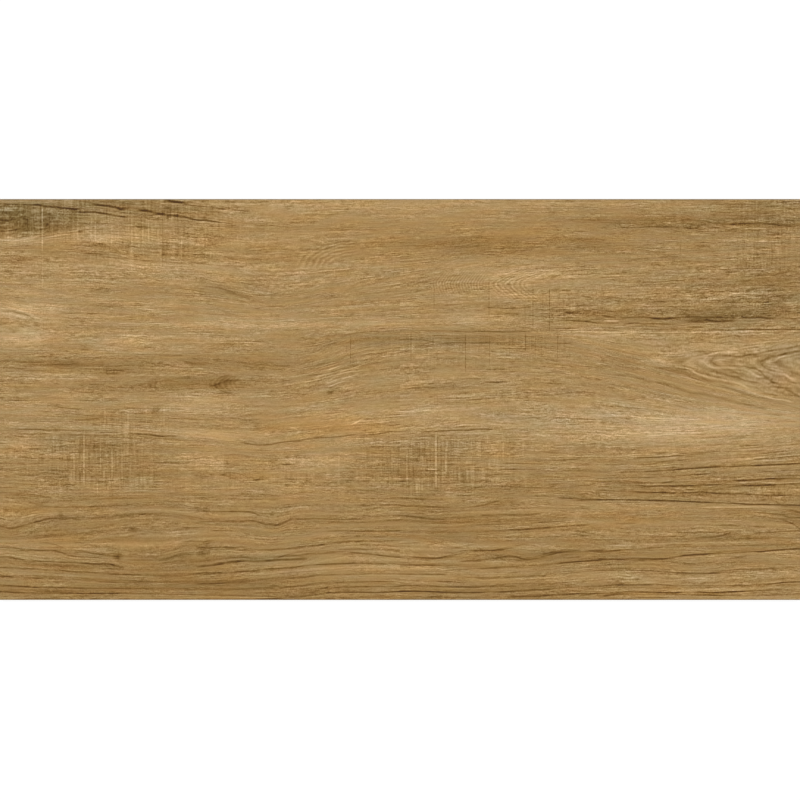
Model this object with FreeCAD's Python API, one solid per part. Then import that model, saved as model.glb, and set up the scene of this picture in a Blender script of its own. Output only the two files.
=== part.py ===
# Wood look porcelain tile, lying face up.
#
# The tile is one dry-pressed and fired piece: a flat slab whose four sides are ground square
# after firing, with a fine bevel round the printed face and another round the back. The press
# tool leaves a grid of shallow keys in the back, which the adhesive fills when the tile is bedded.
#
# Frame: X along the length, Y across the width, Z up out of the printed face. The origin is at
# the middle of the back, on the plane of the ribs that the tile rests on.

import FreeCAD, Part
import math
import os

# Driving dimensions, in millimetres and degrees

TILE_LENGTH = 1200.0      # along X
TILE_WIDTH = 600.0        # along Y
TILE_THICKNESS = 9.0      # from the ribs on the back to the printed face
FACE_BEVEL = 0.8          # width and height of the bevel ground round the printed face
BACK_BEVEL = 0.5          # width and height of the bevel ground round the back
BACK_BORDER = 24.0        # plain band between the sides of the tile and the outermost keys
KEYS_ALONG = 29           # keys in a row along X
KEYS_ACROSS = 14          # keys in a row along Y
KEY_RIB = 8.0             # width of the rib between two keys, on the plane of the back
KEY_DEPTH = 0.8           # from the plane of the back to the floor of a key
KEY_DRAFT = 40.0          # lean of a key's walls, which lets the press tool come away
PUNCH_STEP = 0.5          # how far the punch that shapes a key stands below the plane of the back

# Working values

SAME_HEIGHT = 1e-6        # heights closer than this count as one
QUARTER_TURN = 90.0


def edges_at(shape, height):
    """The edges of a shape that lie flat at one height."""
    return [
        edge for edge in shape.Edges
        if all(math.isclose(corner.Z, height, abs_tol=SAME_HEIGHT) for corner in edge.Vertexes)
    ]


def ground_slab():
    """The slab with its four ground sides and the bevels round its face and its back."""
    corner = FreeCAD.Vector(-TILE_LENGTH / 2, -TILE_WIDTH / 2, 0.0)
    slab = Part.makeBox(TILE_LENGTH, TILE_WIDTH, TILE_THICKNESS, corner)
    slab = slab.makeChamfer(FACE_BEVEL, edges_at(slab, TILE_THICKNESS))
    return slab.makeChamfer(BACK_BEVEL, edges_at(slab, 0.0))


def key_mouth(side, count):
    """Width of one key where it opens on the back, when a row of them fills a side of the tile."""
    return (side - 2 * BACK_BORDER - (count - 1) * KEY_RIB) / count


def key_places(side, count):
    """Middles of the keys in a row along a side of the tile, about its centre."""
    pitch = key_mouth(side, count) + KEY_RIB
    return [(number - (count - 1) / 2) * pitch for number in range(count)]


def key_punch():
    """The tapered block that presses one key: widest below the back, narrowest at the key's floor."""
    lean = math.tan(math.radians(KEY_DRAFT))
    foot_x, foot_y, head_x, head_y = (
        key_mouth(side, count) / 2 + growth * lean
        for growth in (PUNCH_STEP, -KEY_DEPTH)
        for side, count in ((TILE_LENGTH, KEYS_ALONG), (TILE_WIDTH, KEYS_ACROSS))
    )
    # The wedge tapers along its own Y, so it is made lying down and then stood up along Z.
    height = PUNCH_STEP + KEY_DEPTH
    punch = Part.makeWedge(-foot_x, 0, -foot_y, -head_y, -head_x, foot_x, height, foot_y, head_y, head_x)
    punch.rotate(FreeCAD.Vector(0, 0, 0), FreeCAD.Vector(1, 0, 0), QUARTER_TURN)
    return punch.translated(FreeCAD.Vector(0, 0, -PUNCH_STEP))


def press_tool():
    """All the punches of the press tool's back plate, one for each key."""
    punch = key_punch()
    punches = [
        punch.translated(FreeCAD.Vector(x, y, 0.0))
        for x in key_places(TILE_LENGTH, KEYS_ALONG)
        for y in key_places(TILE_WIDTH, KEYS_ACROSS)
    ]
    return Part.makeCompound(punches)


def porcelain_tile():
    """The finished tile: the ground slab with the keys pressed into its back."""
    return ground_slab().cut(press_tool())


os.makedirs("parts", exist_ok=True)
tile = porcelain_tile()
tile.exportStep("parts/porcelain_tile.step")
print("valid", tile.isValid(), "solids", len(tile.Solids), "faces", len(tile.Faces))
print("volume in cubic mm", round(tile.Volume), tile.BoundBox)
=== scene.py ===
import math

import bpy
import numpy as np
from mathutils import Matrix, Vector


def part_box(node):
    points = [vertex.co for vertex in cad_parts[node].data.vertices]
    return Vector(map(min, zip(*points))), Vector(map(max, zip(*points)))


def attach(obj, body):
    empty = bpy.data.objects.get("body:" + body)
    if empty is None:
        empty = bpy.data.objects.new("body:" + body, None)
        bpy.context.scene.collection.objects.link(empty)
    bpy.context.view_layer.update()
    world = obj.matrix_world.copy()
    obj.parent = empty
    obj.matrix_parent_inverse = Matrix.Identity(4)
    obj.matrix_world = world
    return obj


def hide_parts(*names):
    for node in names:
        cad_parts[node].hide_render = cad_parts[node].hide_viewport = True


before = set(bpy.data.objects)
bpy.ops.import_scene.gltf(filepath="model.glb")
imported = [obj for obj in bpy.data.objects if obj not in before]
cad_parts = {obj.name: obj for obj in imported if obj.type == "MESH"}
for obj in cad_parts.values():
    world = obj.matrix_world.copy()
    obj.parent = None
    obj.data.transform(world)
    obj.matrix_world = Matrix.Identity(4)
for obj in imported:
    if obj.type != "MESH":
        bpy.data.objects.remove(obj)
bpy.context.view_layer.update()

# The pressed tile
#
# One slab of porcelain, dry-pressed and fired in one piece, with its four sides ground square and
# a fine bevel ground round the face and the back. The press leaves shallow keys in the back, which
# the adhesive fills, and the face is left as a fine grid so that the grain can be pressed into it.

NODE = "porcelain_tile"
LOWEST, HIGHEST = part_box(NODE)
TILE_LENGTH = HIGHEST[0] - LOWEST[0]
TILE_WIDTH = HIGHEST[1] - LOWEST[1]
TILE_THICKNESS = HIGHEST[2] - LOWEST[2]
FACE_BEVEL = 0.0008
BACK_BEVEL = 0.0005
BACK_BORDER = 0.024
KEYS_ALONG = 29
KEYS_ACROSS = 14
KEY_RIB = 0.008
KEY_DEPTH = 0.0008
KEY_DRAFT = math.radians(40)
FACE_COLUMNS = 270
FACE_ROWS = 330
GLAZE_EDGE = 0.25
WELD = 0.00001


def feed(tree, socket, value):
    """Links a socket to another one, or sets it to a plain value."""
    if isinstance(value, bpy.types.NodeSocket):
        tree.links.new(value, socket)
    else:
        socket.default_value = value


def add(tree, kind, *values, **settings):
    """Adds a node with these settings, and feeds its open sockets in order; None leaves one alone."""
    made = tree.nodes.new(kind)
    for name, setting in settings.items():
        setattr(made, name, setting)
    open_sockets = [socket for socket in made.inputs if socket.enabled]
    for socket, value in zip(open_sockets, values):
        if value is not None:
            feed(tree, socket, value)
    return made


def sum_up(tree, operation, *values):
    """One step of arithmetic on sockets or numbers."""
    return add(tree, "ShaderNodeMath", *values, operation=operation).outputs[0]


def less_both_ends(tree, size, end):
    """A size less the same amount at each of its two ends."""
    return sum_up(tree, "MULTIPLY_ADD", end, -2.0, size)


def key_mouth(tree, side, count, border, rib):
    """Width of one key where it opens on the back, when a row of them fills a side of the tile."""
    plain = less_both_ends(tree, side, border)
    ribs = sum_up(tree, "MULTIPLY", sum_up(tree, "SUBTRACT", count, 1.0), rib)
    return sum_up(tree, "DIVIDE", sum_up(tree, "SUBTRACT", plain, ribs), count)


def moved_ring(tree, mesh, ring, scale_x, scale_y, height):
    """Spreads or draws in the ring of points just extruded, and sets it at one height."""
    here = add(tree, "ShaderNodeSeparateXYZ", add(tree, "GeometryNodeInputPosition").outputs[0])
    x = sum_up(tree, "MULTIPLY", here.outputs[0], scale_x)
    y = sum_up(tree, "MULTIPLY", here.outputs[1], scale_y)
    place = add(tree, "ShaderNodeCombineXYZ", x, y, height).outputs[0]
    return add(tree, "GeometryNodeSetPosition", mesh, ring, place).outputs[0]


def drawn_edge(tree, mesh, ring, scale_x, scale_y, height):
    """Extrudes a ring of edges to a new ring, and returns the mesh, the new ring and the new faces."""
    drawn = add(tree, "GeometryNodeExtrudeMesh", mesh, ring, None, 0.0, mode="EDGES")
    moved = moved_ring(tree, drawn.outputs[0], drawn.outputs[1], scale_x, scale_y, height)
    return moved, drawn.outputs[1], drawn.outputs[2]


def pressed_tile_tree(glaze, body):
    """The rule that gives the slab its shape, with the tile's sizes as its inputs."""
    tree = bpy.data.node_groups.new("Pressed tile", "GeometryNodeTree")
    for name in (
        "Tile length", "Tile width", "Tile thickness", "Face bevel", "Back bevel",
        "Back border", "Key rib", "Key depth", "Key draft", "Weld",
    ):
        tree.interface.new_socket(name, in_out="INPUT", socket_type="NodeSocketFloat")
    for name in ("Keys along", "Keys across", "Face columns", "Face rows"):
        tree.interface.new_socket(name, in_out="INPUT", socket_type="NodeSocketInt")
    tree.interface.new_socket("Tile", in_out="OUTPUT", socket_type="NodeSocketGeometry")
    given = {socket.name: socket for socket in tree.nodes.new("NodeGroupInput").outputs}
    length, width, thickness = given["Tile length"], given["Tile width"], given["Tile thickness"]

    # The face, and from its edge the bevel, the ground side and the bevel of the back
    face_length = less_both_ends(tree, length, given["Face bevel"])
    face_width = less_both_ends(tree, width, given["Face bevel"])
    columns = sum_up(tree, "ADD", given["Face columns"], 1.0)
    rows = sum_up(tree, "ADD", given["Face rows"], 1.0)
    face = add(tree, "GeometryNodeMeshGrid", face_length, face_width, columns, rows).outputs[0]
    lift = add(tree, "ShaderNodeCombineXYZ", 0.0, 0.0, thickness).outputs[0]
    face = add(tree, "GeometryNodeSetPosition", face, None, None, lift).outputs[0]
    beside = add(tree, "GeometryNodeInputMeshEdgeNeighbors").outputs[0]
    rim = add(tree, "FunctionNodeCompare", beside, 1, data_type="INT", operation="EQUAL").outputs[0]
    side_top = sum_up(tree, "SUBTRACT", thickness, given["Face bevel"])
    slab, ring, face_bevel = drawn_edge(
        tree, face, rim,
        sum_up(tree, "DIVIDE", length, face_length), sum_up(tree, "DIVIDE", width, face_width), side_top,
    )
    slab, ring, side = drawn_edge(tree, slab, ring, 1.0, 1.0, given["Back bevel"])
    back_length = less_both_ends(tree, length, given["Back bevel"])
    back_width = less_both_ends(tree, width, given["Back bevel"])
    slab, ring, back_bevel = drawn_edge(
        tree, slab, ring,
        sum_up(tree, "DIVIDE", back_length, length), sum_up(tree, "DIVIDE", back_width, width), 0.0,
    )
    either = add(tree, "FunctionNodeBooleanMath", face_bevel, side, operation="OR").outputs[0]
    ground = add(tree, "FunctionNodeBooleanMath", either, back_bevel, operation="OR").outputs[0]
    plain = add(tree, "FunctionNodeBooleanMath", ground, operation="NOT").outputs[0]
    slab = add(tree, "GeometryNodeSetShadeSmooth", slab, None, plain).outputs[0]

    # The keys, one pocket set out on a grid, and the flat of the back between their mouths
    mouth_x = key_mouth(tree, length, given["Keys along"], given["Back border"], given["Key rib"])
    mouth_y = key_mouth(tree, width, given["Keys across"], given["Back border"], given["Key rib"])
    draw_in = sum_up(tree, "MULTIPLY", given["Key depth"], sum_up(tree, "TANGENT", given["Key draft"]))
    floor_x = less_both_ends(tree, mouth_x, draw_in)
    floor_y = less_both_ends(tree, mouth_y, draw_in)
    sink = add(tree, "ShaderNodeCombineXYZ", 0.0, 0.0, given["Key depth"]).outputs[0]
    pocket = add(tree, "GeometryNodeMeshGrid", floor_x, floor_y, 2, 2).outputs[0]
    pocket = add(tree, "GeometryNodeSetPosition", pocket, None, None, sink).outputs[0]
    pocket = drawn_edge(
        tree, pocket, True,
        sum_up(tree, "DIVIDE", mouth_x, floor_x), sum_up(tree, "DIVIDE", mouth_y, floor_y), 0.0,
    )[0]
    pitch_x = sum_up(tree, "ADD", mouth_x, given["Key rib"])
    pitch_y = sum_up(tree, "ADD", mouth_y, given["Key rib"])
    spread_x = sum_up(tree, "MULTIPLY", pitch_x, sum_up(tree, "SUBTRACT", given["Keys along"], 1.0))
    spread_y = sum_up(tree, "MULTIPLY", pitch_y, sum_up(tree, "SUBTRACT", given["Keys across"], 1.0))
    places = add(
        tree, "GeometryNodeMeshGrid", spread_x, spread_y, given["Keys along"], given["Keys across"],
    ).outputs[0]
    pockets = add(tree, "GeometryNodeInstanceOnPoints", places, None, pocket).outputs[0]
    mouth = add(tree, "GeometryNodeCurvePrimitiveQuadrilateral", mouth_x, mouth_y).outputs[0]
    mouths = add(tree, "GeometryNodeInstanceOnPoints", places, None, mouth).outputs[0]
    outline = add(tree, "GeometryNodeMeshToCurve", slab, ring).outputs[0]
    loops = tree.nodes.new("GeometryNodeJoinGeometry")
    for loop in (outline, add(tree, "GeometryNodeRealizeInstances", mouths).outputs[0]):
        tree.links.new(loop, loops.inputs[0])
    flat = add(tree, "GeometryNodeFillCurve", loops.outputs[0]).outputs[0]
    back = tree.nodes.new("GeometryNodeJoinGeometry")
    for piece in (flat, add(tree, "GeometryNodeRealizeInstances", pockets).outputs[0]):
        tree.links.new(piece, back.inputs[0])
    back = add(tree, "GeometryNodeFlipFaces", back.outputs[0]).outputs[0]
    back = add(tree, "GeometryNodeSetShadeSmooth", back, None, False).outputs[0]

    # One closed piece, glazed on its face alone
    whole = tree.nodes.new("GeometryNodeJoinGeometry")
    for piece in (slab, back):
        tree.links.new(piece, whole.inputs[0])
    whole = add(tree, "GeometryNodeMergeByDistance", whole.outputs[0], None, given["Weld"]).outputs[0]
    whole = add(tree, "GeometryNodeRealizeInstances", whole).outputs[0]
    here = add(tree, "GeometryNodeInputPosition").outputs[0]
    height = add(tree, "ShaderNodeSeparateXYZ", here).outputs[2]
    below_face = sum_up(tree, "MULTIPLY_ADD", given["Face bevel"], -GLAZE_EDGE, thickness)
    glazed = add(tree, "FunctionNodeCompare", height, below_face, operation="GREATER_THAN").outputs[0]
    whole = add(tree, "GeometryNodeSetMaterial", whole, None, body).outputs[0]
    whole = add(tree, "GeometryNodeSetMaterial", whole, glazed, glaze).outputs[0]
    feed(tree, tree.nodes.new("NodeGroupOutput").inputs[0], whole)
    return tree


glaze = bpy.data.materials.new("printed matt glaze")
body = bpy.data.materials.new("fired porcelain body")
tile = bpy.data.objects.new("printed_tile", bpy.data.meshes.new("printed_tile"))
bpy.context.scene.collection.objects.link(tile)
press = tile.modifiers.new("Pressed tile", "NODES")
press.node_group = pressed_tile_tree(glaze, body)
sizes = {
    "Tile length": TILE_LENGTH, "Tile width": TILE_WIDTH, "Tile thickness": TILE_THICKNESS,
    "Face bevel": FACE_BEVEL, "Back bevel": BACK_BEVEL, "Back border": BACK_BORDER,
    "Key rib": KEY_RIB, "Key depth": KEY_DEPTH, "Key draft": KEY_DRAFT, "Weld": WELD,
    "Keys along": KEYS_ALONG, "Keys across": KEYS_ACROSS,
    "Face columns": FACE_COLUMNS, "Face rows": FACE_ROWS,
}
for item in press.node_group.interface.items_tree:
    if item.in_out == "INPUT":
        press[item.identifier] = sizes[item.name]
bpy.context.view_layer.update()
shaped = tile.evaluated_get(bpy.context.evaluated_depsgraph_get())
tile_mesh = bpy.data.meshes.new_from_object(shaped)
tile.modifiers.remove(press)

# The first slot is a bare one, left by the empty mesh that the press started from
tile_mesh.materials.pop(index=0)
tile.data = tile_mesh

# The printed grain
#
# The face carries a picture of three oak boards, jetted on before the glaze and fired in with it.
# The boards' grain is also pressed a few tenths of a millimetre deep, so print and relief agree.
# Places are pixels of the photograph, counted right and down, and tones are hundredths.

PHOTO_COLUMNS = 800
PHOTO_TOP_ROW = 199
PHOTO_BOTTOM_ROW = 600
PIXEL = TILE_WIDTH / (PHOTO_BOTTOM_ROW - PHOTO_TOP_ROW)

# Lines that the grain follows from the left side to the right, from the top edge to the bottom one
GRAIN_COURSES = {
    "top edge": ((0, 199), (800, 199)),
    "weathered cracks": (
        (0, 203), (60, 207), (120, 212), (180, 217), (230, 222), (280, 224), (340, 221), (420, 219),
        (500, 217), (600, 216), (700, 217), (800, 217),
    ),
    "below the weathered corner": (
        (0, 240), (30, 236), (75, 230), (110, 228), (160, 231), (230, 234), (300, 234), (380, 231),
        (460, 229), (540, 228), (620, 229), (700, 231), (800, 230),
    ),
    "long dark course": (
        (0, 250), (60, 252), (100, 254), (140, 260), (200, 264), (250, 267), (320, 265), (380, 262),
        (440, 258), (480, 254), (560, 250), (640, 250), (800, 247),
    ),
    "dome of the top board": (
        (0, 280), (80, 281), (150, 283), (215, 287), (250, 293), (270, 295), (300, 293), (340, 287),
        (400, 279), (440, 272), (500, 269), (555, 266), (640, 263), (720, 262), (800, 259),
    ),
    "foot of the top board": (
        (0, 309), (30, 315), (60, 318), (120, 321), (200, 322), (260, 324), (320, 321), (400, 320),
        (480, 319), (560, 317), (640, 318), (700, 318), (760, 315), (800, 312),
    ),
    "upper seam": (
        (0, 334), (100, 334), (200, 335), (300, 336), (350, 333), (400, 331), (525, 331), (660, 330),
        (800, 329),
    ),
    "above the cathedral": (
        (0, 350), (85, 349), (140, 351), (200, 351), (260, 350), (310, 348), (345, 340), (400, 337),
        (470, 336), (540, 337), (580, 341), (620, 349), (660, 355), (700, 351), (740, 350), (800, 343),
    ),
    "below the cathedral": (
        (0, 362), (90, 362), (200, 362), (260, 366), (300, 366), (330, 359), (360, 350), (400, 345),
        (450, 342), (500, 343), (550, 346), (600, 354), (640, 363), (700, 377), (750, 389), (800, 398),
    ),
    "fan in the middle board": (
        (0, 384), (80, 385), (150, 385), (225, 386), (290, 383), (320, 377), (350, 370), (400, 364),
        (450, 362), (500, 364), (560, 367), (600, 372), (640, 379), (690, 391), (740, 399), (800, 406),
    ),
    "foot of the fan": (
        (0, 401), (160, 402), (240, 402), (300, 400), (340, 395), (380, 390), (420, 387), (460, 385),
        (500, 382), (550, 381), (600, 385), (650, 392), (690, 400), (740, 406), (800, 413),
    ),
    "lower seam": (
        (0, 430), (60, 430.5), (115, 432), (140, 434), (160, 436), (200, 439), (245, 443), (265, 444),
        (300, 440), (340, 436), (400, 433), (440, 431), (490, 429), (540, 430), (600, 431), (700, 432),
        (800, 428),
    ),
    "first ring": (
        (0, 459), (60, 459), (120, 456), (300, 455), (400, 456), (480, 457), (600, 458), (650, 457),
        (700, 453), (800, 447),
    ),
    "second ring": (
        (0, 468), (80, 470), (160, 471), (300, 469), (400, 468), (500, 468), (620, 471), (660, 470),
        (700, 468), (760, 465), (800, 463),
    ),
    "third ring": (
        (0, 487), (40, 489), (160, 489), (330, 488), (470, 489), (560, 486), (660, 486), (720, 485),
        (800, 482),
    ),
    "fourth ring": (
        (0, 497), (40, 500), (125, 498), (260, 499), (400, 498.5), (440, 500), (540, 496), (600, 500),
        (690, 502), (760, 504), (800, 505),
    ),
    "long crack": (
        (0, 526), (8, 528), (20, 525.5), (40, 520), (60, 518), (85, 518), (120, 516), (150, 514),
        (180, 516), (210, 521), (255, 521.5), (275, 525), (290, 520), (330, 519), (360, 519.5),
        (400, 516), (430, 518), (500, 515), (600, 515), (700, 515), (770, 514), (800, 518),
    ),
    "below the crack": (
        (0, 540), (40, 540), (80, 537), (130, 531), (165, 532), (215, 530), (245, 532), (265, 535),
        (290, 533), (330, 530.5), (440, 531), (500, 530.5), (545, 528), (585, 525), (640, 528),
        (700, 527), (760, 529), (800, 530),
    ),
    "knotted ring": (
        (0, 548), (30, 550), (60, 552), (90, 554), (117, 557), (140, 559), (165, 558), (185, 553),
        (203, 551), (215, 548), (235, 548), (270, 549.5), (310, 546), (345, 541.5), (400, 540),
        (440, 542), (480, 545), (530, 546), (580, 548), (640, 548), (700, 547), (800, 544),
    ),
    "cat eye ring": (
        (0, 557), (10, 556.5), (20, 559), (60, 562), (110, 563.5), (140, 567), (165, 567), (200, 566),
        (245, 561), (300, 558.5), (330, 553), (370, 553), (400, 556), (440, 557.5), (463, 556),
        (515, 557), (525, 559), (545, 556), (575, 552.5), (620, 555), (690, 555), (720, 553),
        (800, 549.5),
    ),
    "ring below the cat eye": (
        (0, 567), (40, 569), (70, 571), (120, 574), (190, 574), (250, 571), (300, 567), (330, 564.5),
        (370, 563.5), (440, 565), (490, 568), (530, 567), (570, 563), (600, 561), (660, 560),
        (690, 563), (740, 561), (800, 560),
    ),
    "tenth ring": (
        (0, 577), (60, 578), (100, 581), (170, 583), (220, 583), (260, 581), (300, 577), (350, 574.5),
        (440, 574.5), (470, 577), (520, 577), (580, 573), (620, 571), (700, 573), (730, 570),
        (800, 568),
    ),
    "eleventh ring": (
        (0, 585), (60, 587), (150, 588), (240, 589), (300, 586), (330, 583), (360, 582), (400, 583.5),
        (430, 585.5), (500, 586), (560, 584), (640, 585), (740, 585), (800, 581.5),
    ),
    "last ring": (
        (0, 592), (60, 592.5), (100, 593), (180, 594.5), (240, 596), (290, 596), (320, 593.5),
        (350, 592), (440, 592), (480, 592.5), (560, 591), (620, 592), (680, 592.5), (740, 591.5),
        (800, 589),
    ),
    "bottom edge": ((0, 601), (800, 601)),
}

# Broad light and dark patches: column, row, half length, half width, tone
TONE_PATCHES = (
    (15, 217, 75, 16, -15), (110, 203, 90, 9, -12), (52, 216, 9, 6, -6), (10, 219, 14, 6, -7),
    (168, 213, 48, 8, -16), (75, 216, 14, 6, -7), (10, 226, 40, 7, -8), (56, 225, 24, 8, -8),
    (85, 236, 26, 4, 5), (700, 265, 130, 50, -4), (350, 208, 200, 12, 5), (125, 236, 40, 5, 8),
    (25, 240, 35, 4, 7), (62, 254, 60, 5, -7), (130, 267, 120, 6, 9), (205, 240, 26, 9, -5),
    (235, 292, 22, 6, -6), (25, 311, 42, 9, 13), (22, 338, 38, 8, 12), (20, 325, 48, 14, 7),
    (30, 290, 70, 14, 4), (152, 306, 28, 6, 7), (118, 341, 34, 10, 9), (255, 323, 90, 7, 11),
    (382, 323, 44, 6, 7), (478, 319, 42, 8, 11), (522, 275, 60, 12, 10), (507, 295, 26, 8, 6),
    (460, 242, 130, 14, -8), (500, 247, 60, 7, -6), (692, 222, 130, 9, -13), (765, 212, 60, 20, -7),
    (765, 208, 50, 8, -4), (588, 243, 24, 5, -8), (780, 285, 36, 40, -9), (690, 304, 130, 14, -3),
    (665, 319, 130, 7, -8), (712, 319.5, 30, 5, -8), (728, 312, 40, 8, -10), (575, 312, 34, 8, -5),
    (680, 359.5, 8, 4, -9), (676, 371.5, 16, 4, -9), (722, 371.5, 17, 3, -11), (738, 376, 11, 3.5, -8),
    (661, 361, 11, 5, 8), (697, 360, 10, 5, 8), (687, 354, 9, 3, 6), (796, 363, 7, 6, 8),
    (604, 337, 28, 7, 6), (625, 362, 30, 8, -5), (350, 362, 45, 8, -4), (715, 346, 90, 12, 4),
    (500, 362, 60, 8, -3), (270, 385, 34, 8, -4), (435, 340, 150, 9, -9), (205, 339, 90, 8, 5),
    (130, 386, 110, 7, -7), (755, 388, 55, 9, 8), (490, 338, 50, 6, -4), (40, 361, 60, 7, -9),
    (100, 366, 60, 6, -6), (64, 364, 18, 4, -4), (245, 364, 90, 7, -9), (115, 372, 26, 5, -9),
    (195, 381, 60, 8, -11), (222, 384, 20, 6, -5), (198, 402, 36, 10, 9), (100, 415, 45, 7, -5),
    (650, 409, 170, 12, 4), (690, 426, 150, 19, 12), (730, 419, 80, 7, 4), (657, 435, 90, 8, 7),
    (225, 437, 30, 7, 7), (430, 438, 40, 7, -4), (410, 413, 95, 13, 6), (325, 411, 40, 10, 5),
    (60, 411, 80, 8, 3), (578, 411, 34, 10, 4), (200, 434, 26, 6, 8), (20, 451, 28, 12, 7),
    (100, 446, 75, 13, -9), (207, 461, 28, 9, 12), (320, 461, 34, 10, 12), (285, 488, 85, 18, 6),
    (95, 471, 85, 9, -11), (415, 458, 70, 22, -4), (415, 472, 46, 8, -5), (540, 456, 70, 10, 2),
    (525, 486, 75, 9, -5), (640, 519, 110, 18, 4), (436, 514, 32, 8, -8), (755, 458, 50, 9, 5),
    (90, 535, 80, 9, -9), (793, 511, 18, 9, -12), (205, 549, 18, 6, -5), (185, 576, 60, 18, -6),
    (80, 576, 130, 30, -7), (272, 559, 55, 6, -5), (392, 566, 50, 14, 3), (330, 572, 60, 10, 3),
    (550, 557, 110, 9, -9), (45, 498, 45, 14, -4), (740, 537, 70, 9, -8), (450, 535, 50, 8, -4),
    (325, 535, 30, 8, 4), (190, 561, 55, 8, -9), (730, 560, 60, 8, -3), (560, 585, 70, 9, -7),
    (690, 584, 90, 9, -3), (255, 584, 85, 9, -8), (60, 596, 80, 8, -7), (400, 600, 460, 3.6, -9),
    (260, 430, 420, 24, 2), (400, 520, 520, 80, -6), (470, 590, 120, 10, -4),
)

# Patches of redder or greyer wood: column, row, half length, half width, warmth
WARM_PATCHES = (
    (30, 214, 70, 17, -195), (130, 202, 90, 11, -70), (100, 244, 60, 12, 45), (265, 250, 45, 11, 55),
    (380, 244, 28, 10, 65), (520, 238, 55, 14, 60), (400, 236, 230, 34, 38), (520, 285, 40, 16, 25),
    (725, 318, 50, 9, -80), (780, 298, 44, 10, -80), (765, 340, 60, 6, 30), (435, 342, 42, 8, -100),
    (320, 428, 120, 13, 60), (340, 428, 50, 7, 60), (335, 424, 60, 11, 45), (690, 593.4, 110, 3.2, 80),
    (60, 593, 80, 3.0, 60), (60, 434, 90, 12, -70), (520, 416, 40, 9, -50), (440, 440, 44, 12, -60),
    (620, 416, 150, 15, -55), (500, 450, 24, 10, 45), (15, 450, 22, 9, 60), (210, 450, 30, 20, 40),
    (270, 478, 90, 36, 40), (15, 511, 40, 7, 90), (100, 542, 60, 6, 70), (470, 520, 30, 8, 60),
    (610, 518, 90, 8, 70), (270, 558, 50, 7, -60), (540, 553, 44, 6, -50), (790, 362, 44, 18, -40),
    (205, 241, 22, 9, 60), (770, 212, 55, 22, -60), (660, 280, 120, 40, -20), (400, 570, 500, 50, 10),
    (790, 320, 80, 120, -20), (430, 361, 60, 9, -25), (530, 437, 60, 10, -20),
)

# Patches where the saw's blade left marks across the grain: left, right, top, bottom, strength
SAWN_PATCHES = (
    (-60, 130, 190, 250, 0.9), (60, 260, 190, 268, 0.8), (715, 860, 190, 275, 0.8),
    (55, 185, 398, 440, 0.6), (10, 185, 430, 500, 0.85), (335, 540, 430, 500, 0.9),
    (170, 345, 446, 502, 0.45), (330, 580, 329, 368, 0.45), (525, 580, 326, 364, 0.7),
    (535, 600, 286, 332, 0.5), (600, 860, 440, 505, 0.15), (690, 860, 285, 330, 0.35),
)

# Patches where the growth rings show as long dark and light lines: left, right, top, bottom, strength
RINGED_PATCHES = (
    (-400, 1200, 492, 640, 1.15), (560, 1200, 438, 512, 1.4), (600, 1200, 335, 405, 0.5),
    (-400, 1200, 180, 640, 0.35),
)

# Patches where the fibres are busier or calmer than elsewhere: column, row, half length, half width, share
BUSY_PATCHES = (
    (735, 372, 75, 28, -45), (300, 560, 420, 50, -30), (370, 225, 170, 28, -30), (300, 420, 120, 20, -20),
    (450, 370, 40, 18, -20), (740, 300, 80, 30, 40), (640, 420, 60, 16, 35), (560, 420, 50, 15, 25),
    (40, 275, 60, 18, 18), (150, 275, 60, 18, 18), (560, 320, 40, 12, 40), (650, 300, 90, 25, 30),
    (740, 235, 90, 35, 35),
)

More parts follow.
